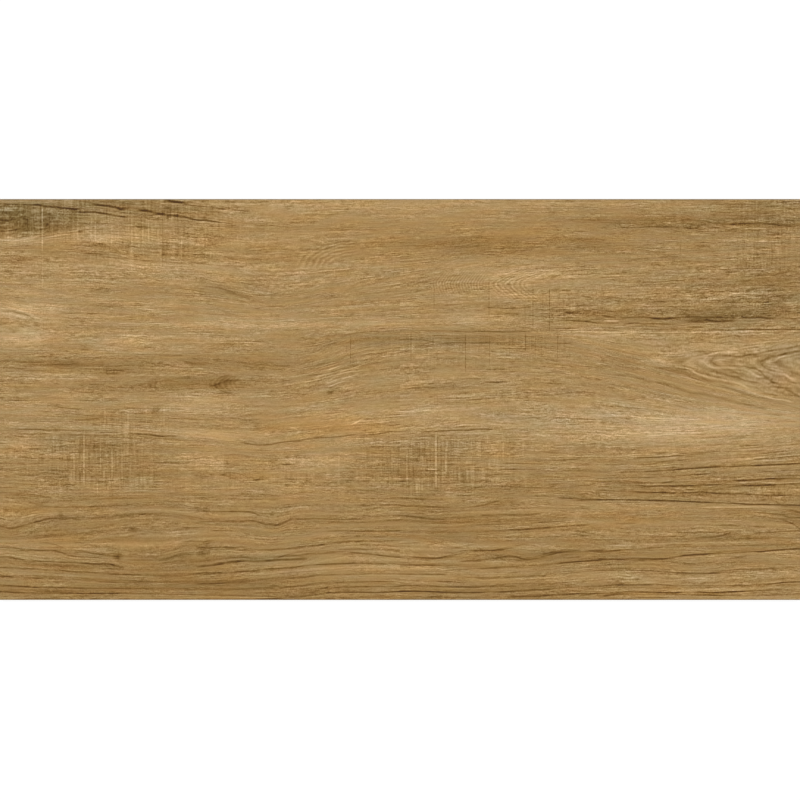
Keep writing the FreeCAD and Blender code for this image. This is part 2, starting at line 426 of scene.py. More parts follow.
# Single cracks, pores and ring lines, dark or light: width, tone, then the points along the line
GRAIN_LINES = {
    "cracks of the weathered corner": (
        (2.0, -40, (0, 204), (7.5, 204.2), (16.7, 204.2), (21.7, 204.5), (27.5, 204.7), (37.5, 205)),
        (2.9, -50, (33, 204.8), (38.5, 205), (42, 205.6)),
        (2.7, -48, (41.7, 205.8), (46.7, 206.5), (53.3, 206.7), (58.3, 207.3)),
        (2.7, -46, (57, 207.2), (63.3, 208), (69.2, 208.3)),
        (2.9, -56, (67, 208.3), (72, 208.9), (75, 209.3), (79, 208.9)),
        (2.9, -61, (93, 204.5), (100, 205), (106.7, 205.7), (111.7, 206.5), (116.7, 207.4), (121, 209.2)),
        (2.7, -40, (121, 209), (124, 208.8), (129, 208.5)),
        (2.9, -53, (138.5, 210.2), (142, 210.6), (145, 210.8), (153, 211.6)),
        (2.9, -56, (154, 213.7), (160, 213.8), (165, 214.1)),
        (2.7, -42, (168, 215.2), (171, 215.5), (175, 215.8), (180, 216.4)),
        (2.7, -50, (182, 216.6), (184, 216.8), (190, 218.5), (195, 219.8), (200, 220.2), (206, 220.2),
         (210, 221), (217, 222)),
        (1.6, -24, (214, 221.8), (219, 222.5), (228, 223.2), (236, 226.2)),
        (2.7, -43, (94, 212), (100, 213), (105, 213.8), (111.7, 214.8), (117, 215.8), (126, 216.9)),
        (2.9, -61, (166, 200.4), (169, 200.8), (174, 201.8), (179, 202.2), (186, 203.4)),
        (1.6, -28, (188, 205.2), (200, 206.2), (210, 207.2), (220, 208.5), (230, 209.2), (240, 210.5),
         (250, 211.6)),
        (1.8, -30, (76, 212), (84, 212.2), (92, 212)),
        (2.0, -28, (1, 231.6), (8, 231), (14, 230), (21, 228.6)),
        (1.8, -18, (0, 212), (12, 211.6), (26, 212)),
        (1.8, 26, (0, 239.8), (8, 240.3), (15, 240.7), (21.7, 239.8)),
        (1.7, 18, (18, 240.2), (31.7, 238.2), (40, 236)),
        (1.7, 16, (42, 238.6), (51.7, 236.9), (58.3, 235.3), (68, 234.2)),
        (1.6, 14, (67, 232.4), (77.5, 230.3), (84, 229)), (1.8, 18, (49, 223.4), (54, 223.6), (59, 223.6)),
        (1.8, -22, (130, 216), (150, 217.5), (165, 219.5)),
        (2.2, -22, (134, 226), (142, 226.8), (150, 227)),
    ),
    "streaks under the weathered corner": (
        (2.0, -29, (86, 253.5), (94, 253.6), (102, 254.2)),
        (1.8, -15, (102, 257.5), (120, 258), (140, 260), (148, 261)),
        (2.4, -14, (138, 260.5), (160, 262), (200, 263.5), (222, 265.5), (244, 266.5)),
        (4.0, -12, (205, 286), (215, 287.5), (225, 290), (236, 294), (244, 297), (253, 299.5)),
        (1.6, -11, (258, 243.5), (275, 244), (292, 243.5)),
        (1.8, -18, (256, 225.5), (266, 225.7), (278, 225)),
        (1.8, -10, (316, 214), (330, 214.5), (345, 213.5), (360, 212), (374, 211)),
        (1.5, -11, (353, 230), (375, 230), (392, 229.5)), (1.5, -10, (175, 286), (190, 289.5), (205, 292)),
        (1.8, -13, (262, 307), (272, 306), (284, 307)), (1.8, 10, (85, 318), (110, 316.5), (126, 317)),
        (1.8, 10, (118, 324), (130, 323), (142, 323.5)), (1.8, -11, (55, 313.5), (75, 314), (95, 314)),
    ),
    "arches at the left side": (
        (1.8, -22, (2, 311.4), (8, 310.8), (13, 311.2), (18, 312.8), (24, 314.2), (28, 315.4),
         (31, 317.4), (35, 319.4)),
        (1.7, 16, (0, 309), (8, 309), (15, 309.6), (22, 311.4), (29, 313.4), (34, 316)),
        (1.6, 15, (4, 313.6), (14, 314.6), (22, 317), (29, 319.6)),
        (1.6, -15, (3, 318.6), (10, 318.4), (18, 318.8), (24, 320)),
        (1.6, -15, (10, 323.4), (15, 321.6), (19, 322), (23, 324.8)),
        (1.6, -15, (0, 322), (4, 323.2), (9, 324.8)), (1.6, 17, (22, 305.8), (28, 306), (34, 306)),
        (1.8, -24, (87, 313.6), (92, 313.8), (98, 313.6)), (1.6, 16, (61, 315), (72, 315), (81, 315.4)),
        (1.6, -13, (60, 312.4), (70, 313), (80, 313)),
        (1.8, -18, (96, 305.4), (104, 306), (112, 306.4), (121, 306.2)),
        (1.9, 12, (0, 308), (12, 309), (22, 311)),
        (1.7, -10, (38, 346), (50, 344), (60, 343.8), (71.7, 344.4), (80, 344.9), (84, 346.4), (89, 349.4)),
        (1.7, -11, (50, 348.2), (62, 348), (72, 348.4), (81, 348.6)),
        (1.7, 10, (16, 343.5), (30, 341), (46, 339.5)), (1.7, -14, (35, 357), (45, 356.8), (54, 356.6)),
        (1.7, -11, (52, 355.6), (60, 354.8), (66, 355.6)), (1.7, -14, (70, 357), (74, 356), (80, 355)),
        (1.8, -18, (22, 362.3), (32, 362.4), (42, 362.4)),
        (1.9, -11, (46, 364.4), (58, 364.6), (70, 364.4), (80, 362)),
        (1.9, -13, (58, 368), (68, 368.4), (76, 367.6)),
        (1.9, -14, (2, 367.4), (12, 367.4), (20, 368.4), (29, 368.2)),
        (1.7, -16, (25, 370.4), (34, 370.4), (42, 370.3)), (1.7, -10, (0, 370.8), (14, 371), (27, 370.6)),
        (1.6, 12, (0, 372.4), (20, 372.6), (42, 372.6)), (1.6, 12, (50, 374.6), (62, 374.5), (73, 374.4)),
        (2.1, -18, (78, 370), (83.3, 373.7), (86, 376.6), (90, 379), (96, 380.2)),
        (1.7, 14, (82, 367.4), (92, 367.4), (102, 367.4)), (2.3, 16, (86, 352.8), (92, 353.4), (98, 353.8)),
        (1.9, 16, (88, 356), (93, 356.4), (98, 356.4)), (1.6, 14, (70, 339.5), (75, 339.5), (80, 339.6)),
        (1.7, 18, (6, 337.8), (12, 337.8), (19, 337.6)), (1.7, -13, (46, 387), (51, 388.2), (56, 388.4)),
        (1.7, -11, (71, 388.6), (76, 388.8), (82, 388.6)),
        (1.5, -11, (86, 381.4), (97, 381.6), (108, 381.6)),
    ),
    "dark lens of the top board": (
        (1.8, -15, (474, 237.5), (482, 238), (490, 239)),
        (2.0, -10, (395, 262), (420, 260.5), (440, 257.5), (455, 255.5), (470, 254.5), (485, 252.5),
         (505, 251.5), (532, 250.5)),
        (2.0, -12, (558, 238.8), (585, 239), (604, 239)), (2.7, -10, (558, 247.5), (580, 248), (606, 247)),
        (1.8, -12, (576, 219.8), (604, 220)), (2.2, -10, (583, 229), (604, 228.5)),
    ),
    "branches of the feather": (
        (1.7, -26, (487, 307.6), (500, 308.2), (515, 308.2), (532, 307)),
        (1.5, -14, (489, 315), (510, 314), (532, 313)), (1.4, 13, (485, 280), (490, 277.8), (496, 275.3)),
        (1.4, 11, (491, 279.5), (498, 276.5), (506, 273.5), (516, 270.5), (526, 268.3)),
        (1.4, 10, (503, 277), (512, 273.6), (522, 270.8), (532, 269)),
        (1.6, 14, (508, 281.5), (515, 278.2), (530, 275), (540, 272.6), (552, 270.2)),
        (1.4, 13, (513, 282.7), (521, 280), (531, 277.4), (541, 275), (552, 272.8)),
        (1.6, 15, (523, 281.2), (533, 278.4), (540, 276.6), (552, 274)),
        (1.4, -17, (505, 275.5), (515, 272.3), (527, 269.2)),
        (1.4, -15, (515, 280), (527, 276.7), (540, 274)),
        (1.8, -18, (540, 279.5), (548, 277.8), (554, 277)),
        (1.4, 9, (455, 270), (462, 267.6), (472, 265.4), (482, 264)),
        (1.4, -10, (454, 268), (463, 265.2), (475, 263), (484, 261.6)),
        (1.8, -18, (487, 307.6), (496, 307), (504, 308.2), (512, 307.4)),
    ),
    "streaks at the top right": (
        (2.6, -14, (620, 227), (640, 227.2), (660, 226.6), (680, 227.4)),
        (2.3, -14, (650, 226.2), (660, 227.4), (668, 227.8)),
        (3.5, -24, (685, 226.6), (691, 228.2), (700, 227.8)),
        (2.9, -20, (685, 223.6), (690, 224.4), (696, 224)),
        (3.0, -17, (702, 221.8), (720, 223.4), (740, 224), (760, 223.4), (780, 225), (800, 225.4)),
        (2.5, -16, (730, 224.6), (742, 224), (754, 223.8)),
        (2.5, -20, (770, 224.2), (784, 225.8), (793, 226.6)),
        (1.6, -12, (600, 219.8), (640, 220), (702, 220.3)),
        (1.6, 28, (664, 222.4), (671, 223.2), (679, 223)),
        (1.6, 18, (652, 230.5), (662, 231.5), (674, 231)), (1.6, 30, (690, 234), (700, 235), (709, 234.6)),
        (2.3, -14, (686, 236.4), (698, 236.8), (708, 236.6)),
        (1.6, 28, (734, 240.4), (741, 240), (750, 240.6)),
        (1.6, 30, (754, 241.2), (764, 241.6), (777, 241.8)),
        (1.6, 23, (748, 220.4), (760, 220.8), (772, 220.4)),
        (1.6, 23, (740, 229), (752, 228.4), (768, 229)), (1.6, 16, (704, 227), (710, 229.6), (716, 231)),
        (3.2, -22, (660, 257.6), (668, 256.6), (679, 257.2)),
        (2.2, -14, (647, 248.2), (656, 248.6), (666, 249)),
        (2.2, -18, (738, 246.2), (746, 246.6), (755, 246.6)),
        (2.9, -22, (748, 254.4), (758, 254.2), (768, 253.8)),
        (1.5, -14, (690, 250), (702, 251), (716, 251.4)),
        (1.5, -15, (770, 243), (785, 242.6), (800, 243.4)),
        (1.5, 25, (718, 267.6), (726, 268.2), (733, 267.6)),
        (2.2, -14, (719, 269.4), (725, 269.8), (731, 269.6)),
        (2.3, -14, (722, 203.4), (730, 204), (742, 203.6)),
        (3.2, -16, (764, 207), (772, 206), (780, 206.6)),
        (2.3, -18, (718, 211.6), (726, 212.6), (733, 212.4)),
        (2.6, -18, (762, 213.6), (768, 213), (776, 213.4)),
        (2.3, -14, (766, 218.4), (780, 217.2), (792, 217.4)),
        (1.6, -17, (784, 207.6), (794, 208.6), (800, 208.8)),
        (1.5, -14, (745, 260), (775, 258.5), (800, 256)), (1.5, -12, (600, 243), (612, 243.5), (625, 243)),
        (1.6, -15, (632, 259.6), (640, 258.6), (650, 258.4)),
        (1.6, -15, (672, 261), (680, 261.6), (690, 260.6)),
        (1.7, -17, (635, 283), (660, 282), (676, 280.6), (690, 279)),
        (2.6, -15, (690, 286.5), (700, 285), (716, 284.4)), (1.5, -12, (765, 284), (785, 286), (800, 286)),
        (1.5, -14, (600, 277.5), (612, 276.5)), (1.6, 18, (600, 279), (612, 278.2), (624, 277.4)),
        (1.6, -15, (735, 275.4), (748, 276.6), (765, 274.6)),
    ),
    "dark streak beside the upper seam": (
        (1.5, -15, (486, 313), (505, 313), (520, 314.5), (547, 317)),
        (2.5, -31, (561, 290.2), (566, 290.3), (571, 290.4)),
        (2.8, -42, (564, 312.6), (568, 313), (572.5, 313.4)),
        (2.1, -20, (571, 312.8), (579, 313.3), (587, 313.6)),
        (2.2, -24, (592, 314.2), (595, 314.6), (599, 315.2)),
        (2.5, -39, (603, 316), (608, 316.6), (614, 317)),
        (2.4, -25, (563, 320), (571, 320.6), (581, 321.1), (590, 321.7), (595, 322.8), (601, 323)),
        (1.8, 44, (604, 320.8), (610, 320.9), (618, 321)),
        (2.2, -33, (605, 322.8), (611, 322.8), (618, 323)),
        (2.1, -22, (623, 318), (632.5, 317.5), (640, 317.1), (650, 317.8), (660, 318.4)),
        (2.8, -48, (653, 318.3), (659, 318.6), (664, 318.7), (674, 318.2)),
        (2.2, -25, (668, 317.8), (684, 317.4), (692.5, 316.9), (702, 317), (707.5, 317.8), (722, 317.3)),
        (2.2, -34, (625, 324.2), (632.5, 323), (639, 323)),
        (2.2, -22, (639, 323.7), (646, 323.8), (654, 323.9)),
        (2.2, -22, (655, 324), (662, 324), (671, 324.1)),
        (3.0, -41, (704, 319.4), (709, 320.4), (715, 321.3), (723.3, 321.1), (732, 320.6)),
        (2.8, -33, (719, 317.9), (725, 317.7), (729, 317.5), (737, 317.2)),
        (2.8, -44, (742, 317.2), (751, 317.6), (760, 317.4), (765, 318), (773, 318)),
        (2.2, -24, (755, 314.6), (760, 314.4), (765, 314.1), (773, 313.8)),
        (2.2, -28, (771, 313.5), (781, 313), (791, 312.7), (800, 312.4)),
        (2.8, -30, (691, 326.8), (697, 327), (703, 327.1)),
        (2.5, -20, (688, 321), (695, 321.4), (705, 321)),
        (1.5, 22, (614, 326.8), (620, 326.8), (626, 326.8)),
        (1.5, 18, (690, 325.4), (708, 325.4), (730, 325.6)),
        (1.5, -18, (550, 328.4), (560, 328.4), (569, 328.4)),
        (2.0, -20, (665, 310.4), (670, 310.5), (676, 310.6)),
        (2.0, -22, (681, 308.4), (685, 308.5), (690, 308.3)),
        (1.6, -22, (655, 301.5), (660, 301.5), (666, 301.7)),
        (2.2, -31, (726, 302.2), (732, 302.3), (738, 302.3)),
        (2.2, -22, (731, 297.2), (735, 297.2), (740, 297.3)),
        (1.7, 28, (734, 293.6), (744, 293.6), (754, 293.6)), (1.5, -13, (600, 311), (625, 312), (650, 312)),
        (2.2, -20, (545, 321), (548, 321.6), (553, 322)),
    ),
    "upper seam": (
        (1.8, -15, (340, 336), (360, 332.5), (380, 331.3), (400, 330.8), (457, 331)),
        (2.0, -23, (455, 331.2), (466, 331.8), (480, 331.5), (500, 331.8), (527, 331.5)),
        (1.8, -16, (638, 329.9), (660, 329.3), (700, 329.2), (742, 329.4)),
        (2.2, -40, (738, 329.5), (760, 329.4), (776, 329.7), (790, 329.5), (800, 329.4)),
        (1.9, 18, (562, 331.6), (582, 331.8), (600, 332.1), (650, 332.4), (700, 332), (763, 331.6),
         (800, 331.6)),
        (2.2, 11, (573, 334.8), (600, 335.6), (622, 335)), (1.6, 9, (240, 325), (260, 325.2), (281, 325.6)),
    ),
    "streaks of the middle board, left": (
        (1.9, -27, (104, 370.3), (115, 370.3), (130, 370)),
        (1.7, -21, (103, 373.2), (109, 373.2), (117, 373)),
        (1.7, -23, (90, 384.4), (96, 384.5), (104, 384.4)),
        (1.7, -19, (158, 355.5), (170, 355.8), (182, 355.5)), (1.7, -15, (182, 353.5), (198, 353.3)),
        (1.6, -9, (136, 360), (150, 362), (162, 363)), (1.7, -10, (108, 366), (132, 365.5)),
        (4.0, -13, (183, 361.5), (195, 364), (204, 365)), (1.7, -11, (182, 371), (202, 373)),
        (2.8, -19, (148, 386.3), (158, 387.6)), (1.9, -11, (143, 383), (152, 384)),
        (1.9, -11, (156, 382.5), (167, 380)), (1.7, -15, (34, 396), (50, 395.6)),
        (1.7, -19, (3, 400.5), (22, 400.8)),
        (2.5, -15, (209, 386.5), (216, 384.8), (224, 381.5), (240, 380)),
        (2.3, -15, (217, 387.5), (226, 392.5), (235, 394.5)),
        (2.1, -17, (219, 378), (227, 375.5), (236, 377)), (1.9, -11, (232, 386.5), (244, 388)),
        (1.7, 9, (228, 388.4), (240, 388.2)), (2.5, -11, (268, 364.5), (280, 366), (292, 367)),
        (1.9, -17, (275, 369.7), (286, 369)), (2.1, -11, (303, 367.5), (314, 365)),
        (1.9, -11, (298, 373), (310, 373.5)), (1.9, -18, (308, 375.8), (320, 374.5)),
        (1.7, -11, (303, 380.7), (312, 380), (327, 377.5)), (1.7, -20, (291, 393.8), (305, 394)),
        (1.7, -10, (90, 391), (112, 390)),
    ),
    "fan of the middle board": (
        (1.5, 29, (305, 382), (315, 380), (325, 377.6), (333, 375.6)),
        (1.5, 29, (316, 376.6), (325, 374.6), (336, 372)),
        (1.6, 35, (326, 370.2), (333, 368.6), (340, 366)), (1.4, 31, (335, 375), (345, 372.6), (353, 371)),
        (1.4, 31, (338, 371.6), (347, 369.6), (355, 367.4), (366, 363.2)),
        (1.4, 35, (327, 383.4), (331, 382), (336, 380)),
        (1.5, 38, (329, 386.6), (333, 385), (338, 383), (346, 380.8)),
        (1.4, 28, (343, 378.6), (349, 377), (356, 374.6)),
        (1.4, -13, (305, 379.8), (312, 379.4), (323, 377.4)),
        (1.6, -15, (306, 375.4), (312, 375), (319, 373.8)), (1.4, -12, (319, 370.4), (326, 368.4)),
        (1.5, -14, (337, 369.8), (342, 368.6), (348, 367.8)),
        (1.5, -14, (354, 366), (358, 365), (363, 364)),
        (1.4, -11, (358, 367.6), (364, 367.2), (372, 366.2)),
        (1.5, -14, (350, 376.2), (354, 376.4), (359, 377.4)),
        (1.5, -14, (328, 388.6), (332, 387), (338, 385)), (1.4, -10, (343, 381.4), (352, 379.6)),
        (1.4, -9, (360, 399.8), (375, 397.5), (392, 394.3)),
    ),
    "streaks of the middle board, centre": (
        (2.2, -23, (398, 339.5), (408, 339), (414, 340)), (2.2, -19, (420, 339), (428, 341), (434, 342)),
        (1.8, -15, (434, 335.5), (446, 335)),
        (1.9, -19, (438, 343.9), (455, 342.8), (475, 343), (492, 342.5)),
        (2.0, -26, (500, 348.2), (515, 348.5), (529, 348.8)),
        (1.8, -12, (528, 344), (545, 343.6), (560, 343.6)), (2.0, -27, (558, 343.5), (570, 343.2)),
        (1.6, 12, (440, 346.7), (462, 345)), (1.6, 12, (462, 344.8), (490, 344.6)),
        (2.0, -24, (462, 379), (472, 378.6), (482, 379)), (2.2, -28, (485, 381.5), (495, 382), (502, 382)),
        (2.0, -18, (406, 389.2), (415, 388), (425, 387), (438, 388)),
        (2.0, -18, (428, 388.7), (445, 386.5), (457, 385.3)), (2.0, -18, (420, 383.5), (434, 383.5)),
        (2.2, -23, (497, 375), (507, 373.2)), (1.8, -15, (543, 374.5), (554, 375)),
        (1.9, -21, (522, 393), (536, 393)), (2.4, -18, (538, 394), (555, 394.5), (574, 392.5)),
        (2.0, -15, (580, 393.3), (592, 394.8)), (1.8, -15, (586, 367), (604, 367)),
        (1.8, -18, (468, 400), (482, 399.4)), (1.8, 24, (514, 402), (530, 402)),
        (1.6, 10, (438, 392.3), (460, 390.5), (482, 389.3)),
        (1.7, -13, (540, 356.5), (556, 357.5), (572, 356)), (1.6, 10, (470, 352), (488, 351.5)),
    ),
    "cathedral of the middle board": (
        (4.5, -11, (655, 366.6), (673, 370), (687, 371.6), (694, 374.4), (708, 379.8)),
        (4.0, -11, (703, 369.2), (714, 371.6), (725, 374.4), (741, 377.8)),
        (4.0, -9, (700, 379), (720, 386), (735, 391), (750, 395.4), (772, 400.4)),
        (4.0, 8, (636, 362.6), (655, 360), (668, 363.4), (682, 367.4)),
        (4.0, 8, (668, 374), (690, 378.4), (704, 383), (726, 389.6)),
        (1.8, -13, (690, 351.5), (705, 351.2), (717, 351.4)),
        (2.8, -22, (711, 360.8), (713, 357.8), (716, 356), (720, 355.2), (727.5, 355.5), (736, 356.4),
         (742.5, 356), (748, 354.6), (756.7, 354.1), (760.8, 353.3), (766.7, 351.8), (772, 350.5),
         (777.5, 349.9), (786, 348.6), (800, 345.5)),
        (2.5, -18, (711, 361), (714, 363.5), (717, 365.3), (727, 366), (745, 366.6), (752, 368.2)),
        (3.1, -22, (750, 368.2), (756.3, 368.6), (758.3, 370.3), (761.7, 372.6), (765, 376.6), (769, 378)),
        (3.1, -22, (758, 378.4), (763.3, 378.5), (766.7, 379.3), (771, 380.2)),
        (3.1, -30, (769, 380), (772, 382.1), (776.7, 383.5), (781, 384.8)),
        (3.1, -29, (771, 386.3), (776, 387), (784.2, 387.9), (789, 388.4)),
        (3.1, -23, (786, 389.8), (792, 392), (795.4, 394.1), (800, 396.4)),
        (3.3, -23, (760, 361.4), (763.3, 360.3), (767.1, 359.4), (770, 358), (772.5, 357.4), (777, 357.2)),
        (3.1, -22, (767, 356.6), (771.7, 355.5), (779.2, 355.3), (783.8, 354.6), (787, 353)),
        (3.1, -25, (782, 353.8), (785.8, 353.1), (790, 352.2), (794.2, 351.6), (800, 351.3)),
        (2.8, -25, (760, 362.2), (762, 365), (764.6, 367.4), (767, 368.8), (771, 370.2), (775, 371.4)),
        (3.5, -25, (786, 370.4), (789, 371.2), (792.5, 372.5), (796, 373.4), (800, 375)),
        (2.5, -23, (787, 381), (791.7, 382.3), (797, 383.6)),
        (2.8, 20, (703, 361), (706, 357), (711, 354.2), (722, 352.6), (740, 352)),
        (2.5, 20, (703, 361.5), (707, 365), (711, 367), (717, 367.8), (726, 368), (745, 369.4), (754, 373)),
        (3.0, 23, (750, 373), (755, 374.8), (758, 376.4), (762, 377)),
        (2.8, 22, (758, 369), (762, 369.8), (765, 371)),
        (2.8, 22, (684, 367.5), (690, 369.5), (697.5, 373.9), (705, 376.4), (715, 378.9), (724, 380.1),
         (731, 381.4), (737.5, 383.3), (743, 385.3), (748, 388)),
        (2.5, 22, (750, 392.4), (755, 393.6), (760, 395), (766, 396.4), (771, 397.4)),
        (2.3, 22, (770, 398), (776, 399.2), (783, 399.8), (792, 402)),
        (2.8, 20, (763, 363.4), (768.3, 365.3), (771.7, 366.5), (777, 366.8)),
        (2.3, 14, (765, 361.8), (770, 361.8), (775, 361)),
        (2.5, 22, (771, 368.4), (776, 369.6), (780, 370.7), (785, 371.8)),
        (3.4, 25, (783, 373.2), (788, 376.5), (791.5, 379), (796, 380.5)),
        (2.5, 18, (774.5, 361.5), (778, 358.4), (781.7, 356.8), (786, 355.8)),
        (4.6, -15, (686, 374.6), (695, 378.3), (705, 380), (715, 380.8), (725, 382.3), (732, 384.4)),
        (3.9, -16, (720, 385.2), (732.5, 388.9), (740, 391.8), (744, 393.6), (749, 395.2), (754, 396)),
        (2.5, -20, (762, 392.6), (770, 394.3), (778, 395.8)),
        (2.3, -18, (738, 378), (746, 380.6), (754, 382.2), (760, 383.4)),
        (2.3, -16, (755, 387.2), (758.5, 389), (762, 391)),
        (4.8, -14, (662, 383.6), (675, 387), (682.5, 390), (692.5, 393.3), (702.5, 393.9), (715, 397),
         (727.5, 400), (740, 403.3), (752.5, 405.8), (766, 408.2)),
        (3.4, -12, (618, 375), (627.5, 375), (640, 378.3), (650, 382), (661, 383.3), (672, 385.4)),
        (2.1, -14, (658, 367.8), (675, 367.8), (689, 369.7)),
        (2.1, 13, (714, 360.4), (722, 359.6), (731, 361)), (2.4, 9, (598, 363), (606, 364.4), (614, 364.6)),
        (2.3, -11, (764, 413.5), (776, 414.2), (786, 415)),
        (2.3, -11, (776, 402.5), (786, 405), (800, 409)),
    ),
    "foot of the middle board": (
        (2.2, -27, (56, 406.5), (66, 408), (82, 409.2)), (2.2, -16, (62, 413), (82, 414.6)),
        (1.9, -16, (78, 420.4), (102, 418)), (1.8, -16, (156, 412), (174, 411.5)),
        (1.9, -22, (138, 422), (150, 421.8)), (1.8, -14, (118, 409), (142, 408)),
        (3.0, -22, (93, 424), (102, 426)), (1.8, 16, (180, 414), (198, 413.5)),
        (1.8, -20, (513, 420.2), (525, 418.5), (537, 416.7)), (1.8, -16, (503, 423.6), (514, 423)),
        (1.8, -14, (538, 414.2), (552, 412.8)), (1.8, -16, (538, 426), (550, 425)),
        (1.8, -20, (570, 424.6), (587, 424)), (1.8, 18, (583, 433), (602, 434)),
        (2.0, 23, (600, 435.5), (622, 435)), (1.8, 22, (648, 436.2), (680, 433.5), (702, 433)),
        (1.5, 16, (638, 432), (662, 432.5)), (1.8, 20, (648, 417.5), (680, 419), (702, 419.5)),
        (1.8, -16, (600, 422.5), (620, 423), (642, 424.5)), (1.6, -11, (604, 427), (622, 428)),
        (2.6, -16, (673, 404.8), (692, 409.2)),
        (1.7, -16, (698, 438.6), (720, 437), (740, 436), (752, 435)), (1.8, -22, (733, 445), (762, 445.3)),
        (1.8, -19, (710, 446.2), (722, 444)), (1.6, -11, (640, 404), (662, 406), (675, 404)),
        (2.0, 26, (350, 425.3), (356, 422.5), (362, 419.6)),
        (2.0, 23, (291, 427.4), (296, 429), (300, 431.6)),
        (1.8, -17, (278, 432), (290, 431.8), (302, 430.3)), (1.8, -16, (310, 429.6), (322, 428)),
        (1.6, -12, (230, 418), (245, 419), (260, 420)),
    ),
    "lower seam": (
        (2.0, -34, (18, 429.5), (30, 429.3), (44, 429.4)),
        (1.9, -30, (42, 430.4), (60, 430), (80, 431), (93, 431.3)), (1.8, -24, (98, 432.6), (117, 432)),
        (1.8, -12, (60, 435.8), (80, 435.2), (112, 435.2)),
        (2.4, -50, (136, 433.7), (148, 434.6), (158, 436), (163, 436.4)),
        (2.2, -30, (161, 436.2), (177, 436.3)),
        (1.5, 17, (60, 433), (80, 433.4), (100, 434.2), (134, 432.4)), (1.5, 11, (0, 432.6), (32, 432.8)),
        (1.8, -25, (188, 445), (204, 445.3)),
        (2.0, -30, (243, 442.6), (255, 444.8), (270, 444.5), (285, 441.8), (302, 441.2)),
        (1.9, -30, (298, 440.4), (322, 437.4), (336, 437), (357, 434.2)),
        (1.8, -24, (360, 435.6), (380, 433.6), (394, 431.3)),
        (2.0, -40, (424, 431.5), (440, 431), (455, 430.6), (470, 430.3)),
        (2.1, -41, (466, 430.6), (480, 429.2), (494, 429.4)), (1.7, -18, (490, 429.7), (514, 430)),
        (1.7, 16, (438, 433.6), (470, 433.3), (504, 433)),
        (2.4, -15, (418, 436.2), (445, 435.6), (482, 436.2)),
    ),
    "saw dashes of the bottom board": (
        (2.0, -15, (218, 455.6), (232, 455), (242, 454.8)), (2.6, -13, (283, 455), (302, 454.5)),
        (2.0, -18, (226, 463.8), (237, 465.2)), (2.0, -18, (282, 464.7), (294, 464)),
        (1.8, -18, (578, 447), (594, 446.8)), (1.7, -13, (550, 450.5), (562, 450)),
        (2.6, -18, (562, 460.2), (578, 459)), (1.8, -15, (468, 464.7), (482, 463)),
        (1.9, -22, (503, 463.2), (520, 463.5), (542, 464)), (1.8, -15, (438, 465.1), (454, 464.5)),
        (2.0, -22, (0, 469), (14, 468.6)), (2.0, -18, (14, 474.4), (25, 475.5), (38, 475)),
        (1.9, -22, (0, 487.6), (14, 487.2)), (2.0, -18, (58, 477.3), (70, 478)),
        (2.0, -17, (58, 482.6), (74, 485)), (1.9, -17, (148, 490.2), (162, 489.4)),
        (3.2, -13, (8, 498), (27, 498.2)), (1.6, -13, (0, 492), (20, 493.5), (42, 495.8)),
        (2.6, -18, (26, 501.4), (34, 503.5), (42, 504.7)), (1.9, -17, (38, 506), (50, 506.2)),
        (3.0, -18, (220, 474), (228, 476)), (2.6, -22, (253, 479.6), (266, 479)),
        (2.6, -15, (323, 484), (334, 483.5)), (2.2, -18, (356, 490), (374, 491)),
        (2.0, -22, (498, 469.5), (525, 469.3), (542, 469.8)),
        (2.0, -18, (486, 475.7), (500, 474.5), (510, 474.2)), (1.9, -22, (515, 487.5), (542, 487.5)),
        (2.0, -17, (468, 489.4), (482, 486)), (1.8, -13, (438, 483), (452, 484)),
        (2.4, -15, (572, 485.5), (594, 485)), (1.8, -17, (564, 470.5), (590, 471), (614, 471.4)),
        (1.8, -13, (570, 476), (592, 476.5)), (1.8, -17, (0, 463.5), (20, 463.8), (45, 463.3)),
        (1.8, -13, (20, 457.5), (45, 458.5), (60, 458.4)), (2.2, -15, (370, 453), (398, 453.6)),
        (1.8, -13, (400, 449.5), (425, 449)),
    ),
    "dark lines at the right of the bottom board": (
        (2.0, -29, (638, 457.9), (660, 456.8), (682, 455.4)),
        (1.7, -19, (680, 453.6), (700, 452.5), (720, 451.5), (745, 451), (762, 450.4)),
        (1.9, -27, (758, 453.7), (772, 452.5), (787, 450.8)),
        (1.6, -14, (700, 456), (730, 455), (752, 454.6)),
        (2.1, -30, (753, 459.5), (765, 458.5), (785, 457), (800, 456)),
        (1.9, -23, (653, 463.2), (662, 462), (674, 461.4)), (2.1, -31, (677, 460.4), (687, 460.1)),
        (1.9, -23, (646, 466.6), (660, 466), (672, 465), (687, 463.8)),
        (1.7, -16, (613, 464.6), (627, 464)), (2.5, -35, (678, 469.2), (695, 468), (718, 466.9)),
        (1.8, -23, (728, 467.1), (742, 466), (762, 464.9)),
        (2.3, -40, (756, 465.6), (775, 464.8), (800, 463.8)), (1.7, -16, (638, 472.6), (662, 470.9)),
        (1.9, -23, (666, 470.2), (682, 468.9)), (2.0, -31, (683, 475.6), (695, 474.8), (709, 473.9)),
        (1.7, -16, (626, 476.4), (640, 477.5), (654, 477)),
        (1.6, -16, (758, 472.6), (780, 471), (800, 470)),
        (2.5, -36, (736, 480.7), (760, 479.8), (768, 479), (782, 479.8)),
        (2.1, -27, (768, 478.2), (800, 479)), (1.7, -23, (780, 476.1), (800, 475.6)),
        (2.0, -19, (600, 482.2), (618, 481), (642, 482.6)), (2.1, -30, (662, 482.7), (674, 481.4)),
        (2.1, -31, (638, 485.8), (655, 486), (671, 485.5)),
        (2.5, -36, (670, 486), (685, 485.5), (695, 485.6)), (2.1, -23, (697, 485.2), (720, 484.5)),
        (1.9, -27, (726, 487.2), (740, 485.9)), (2.8, -40, (743, 485.6), (755, 485.5), (773, 484.7)),
        (1.7, 30, (738, 482.6), (760, 482.3), (780, 483), (800, 481.8)),
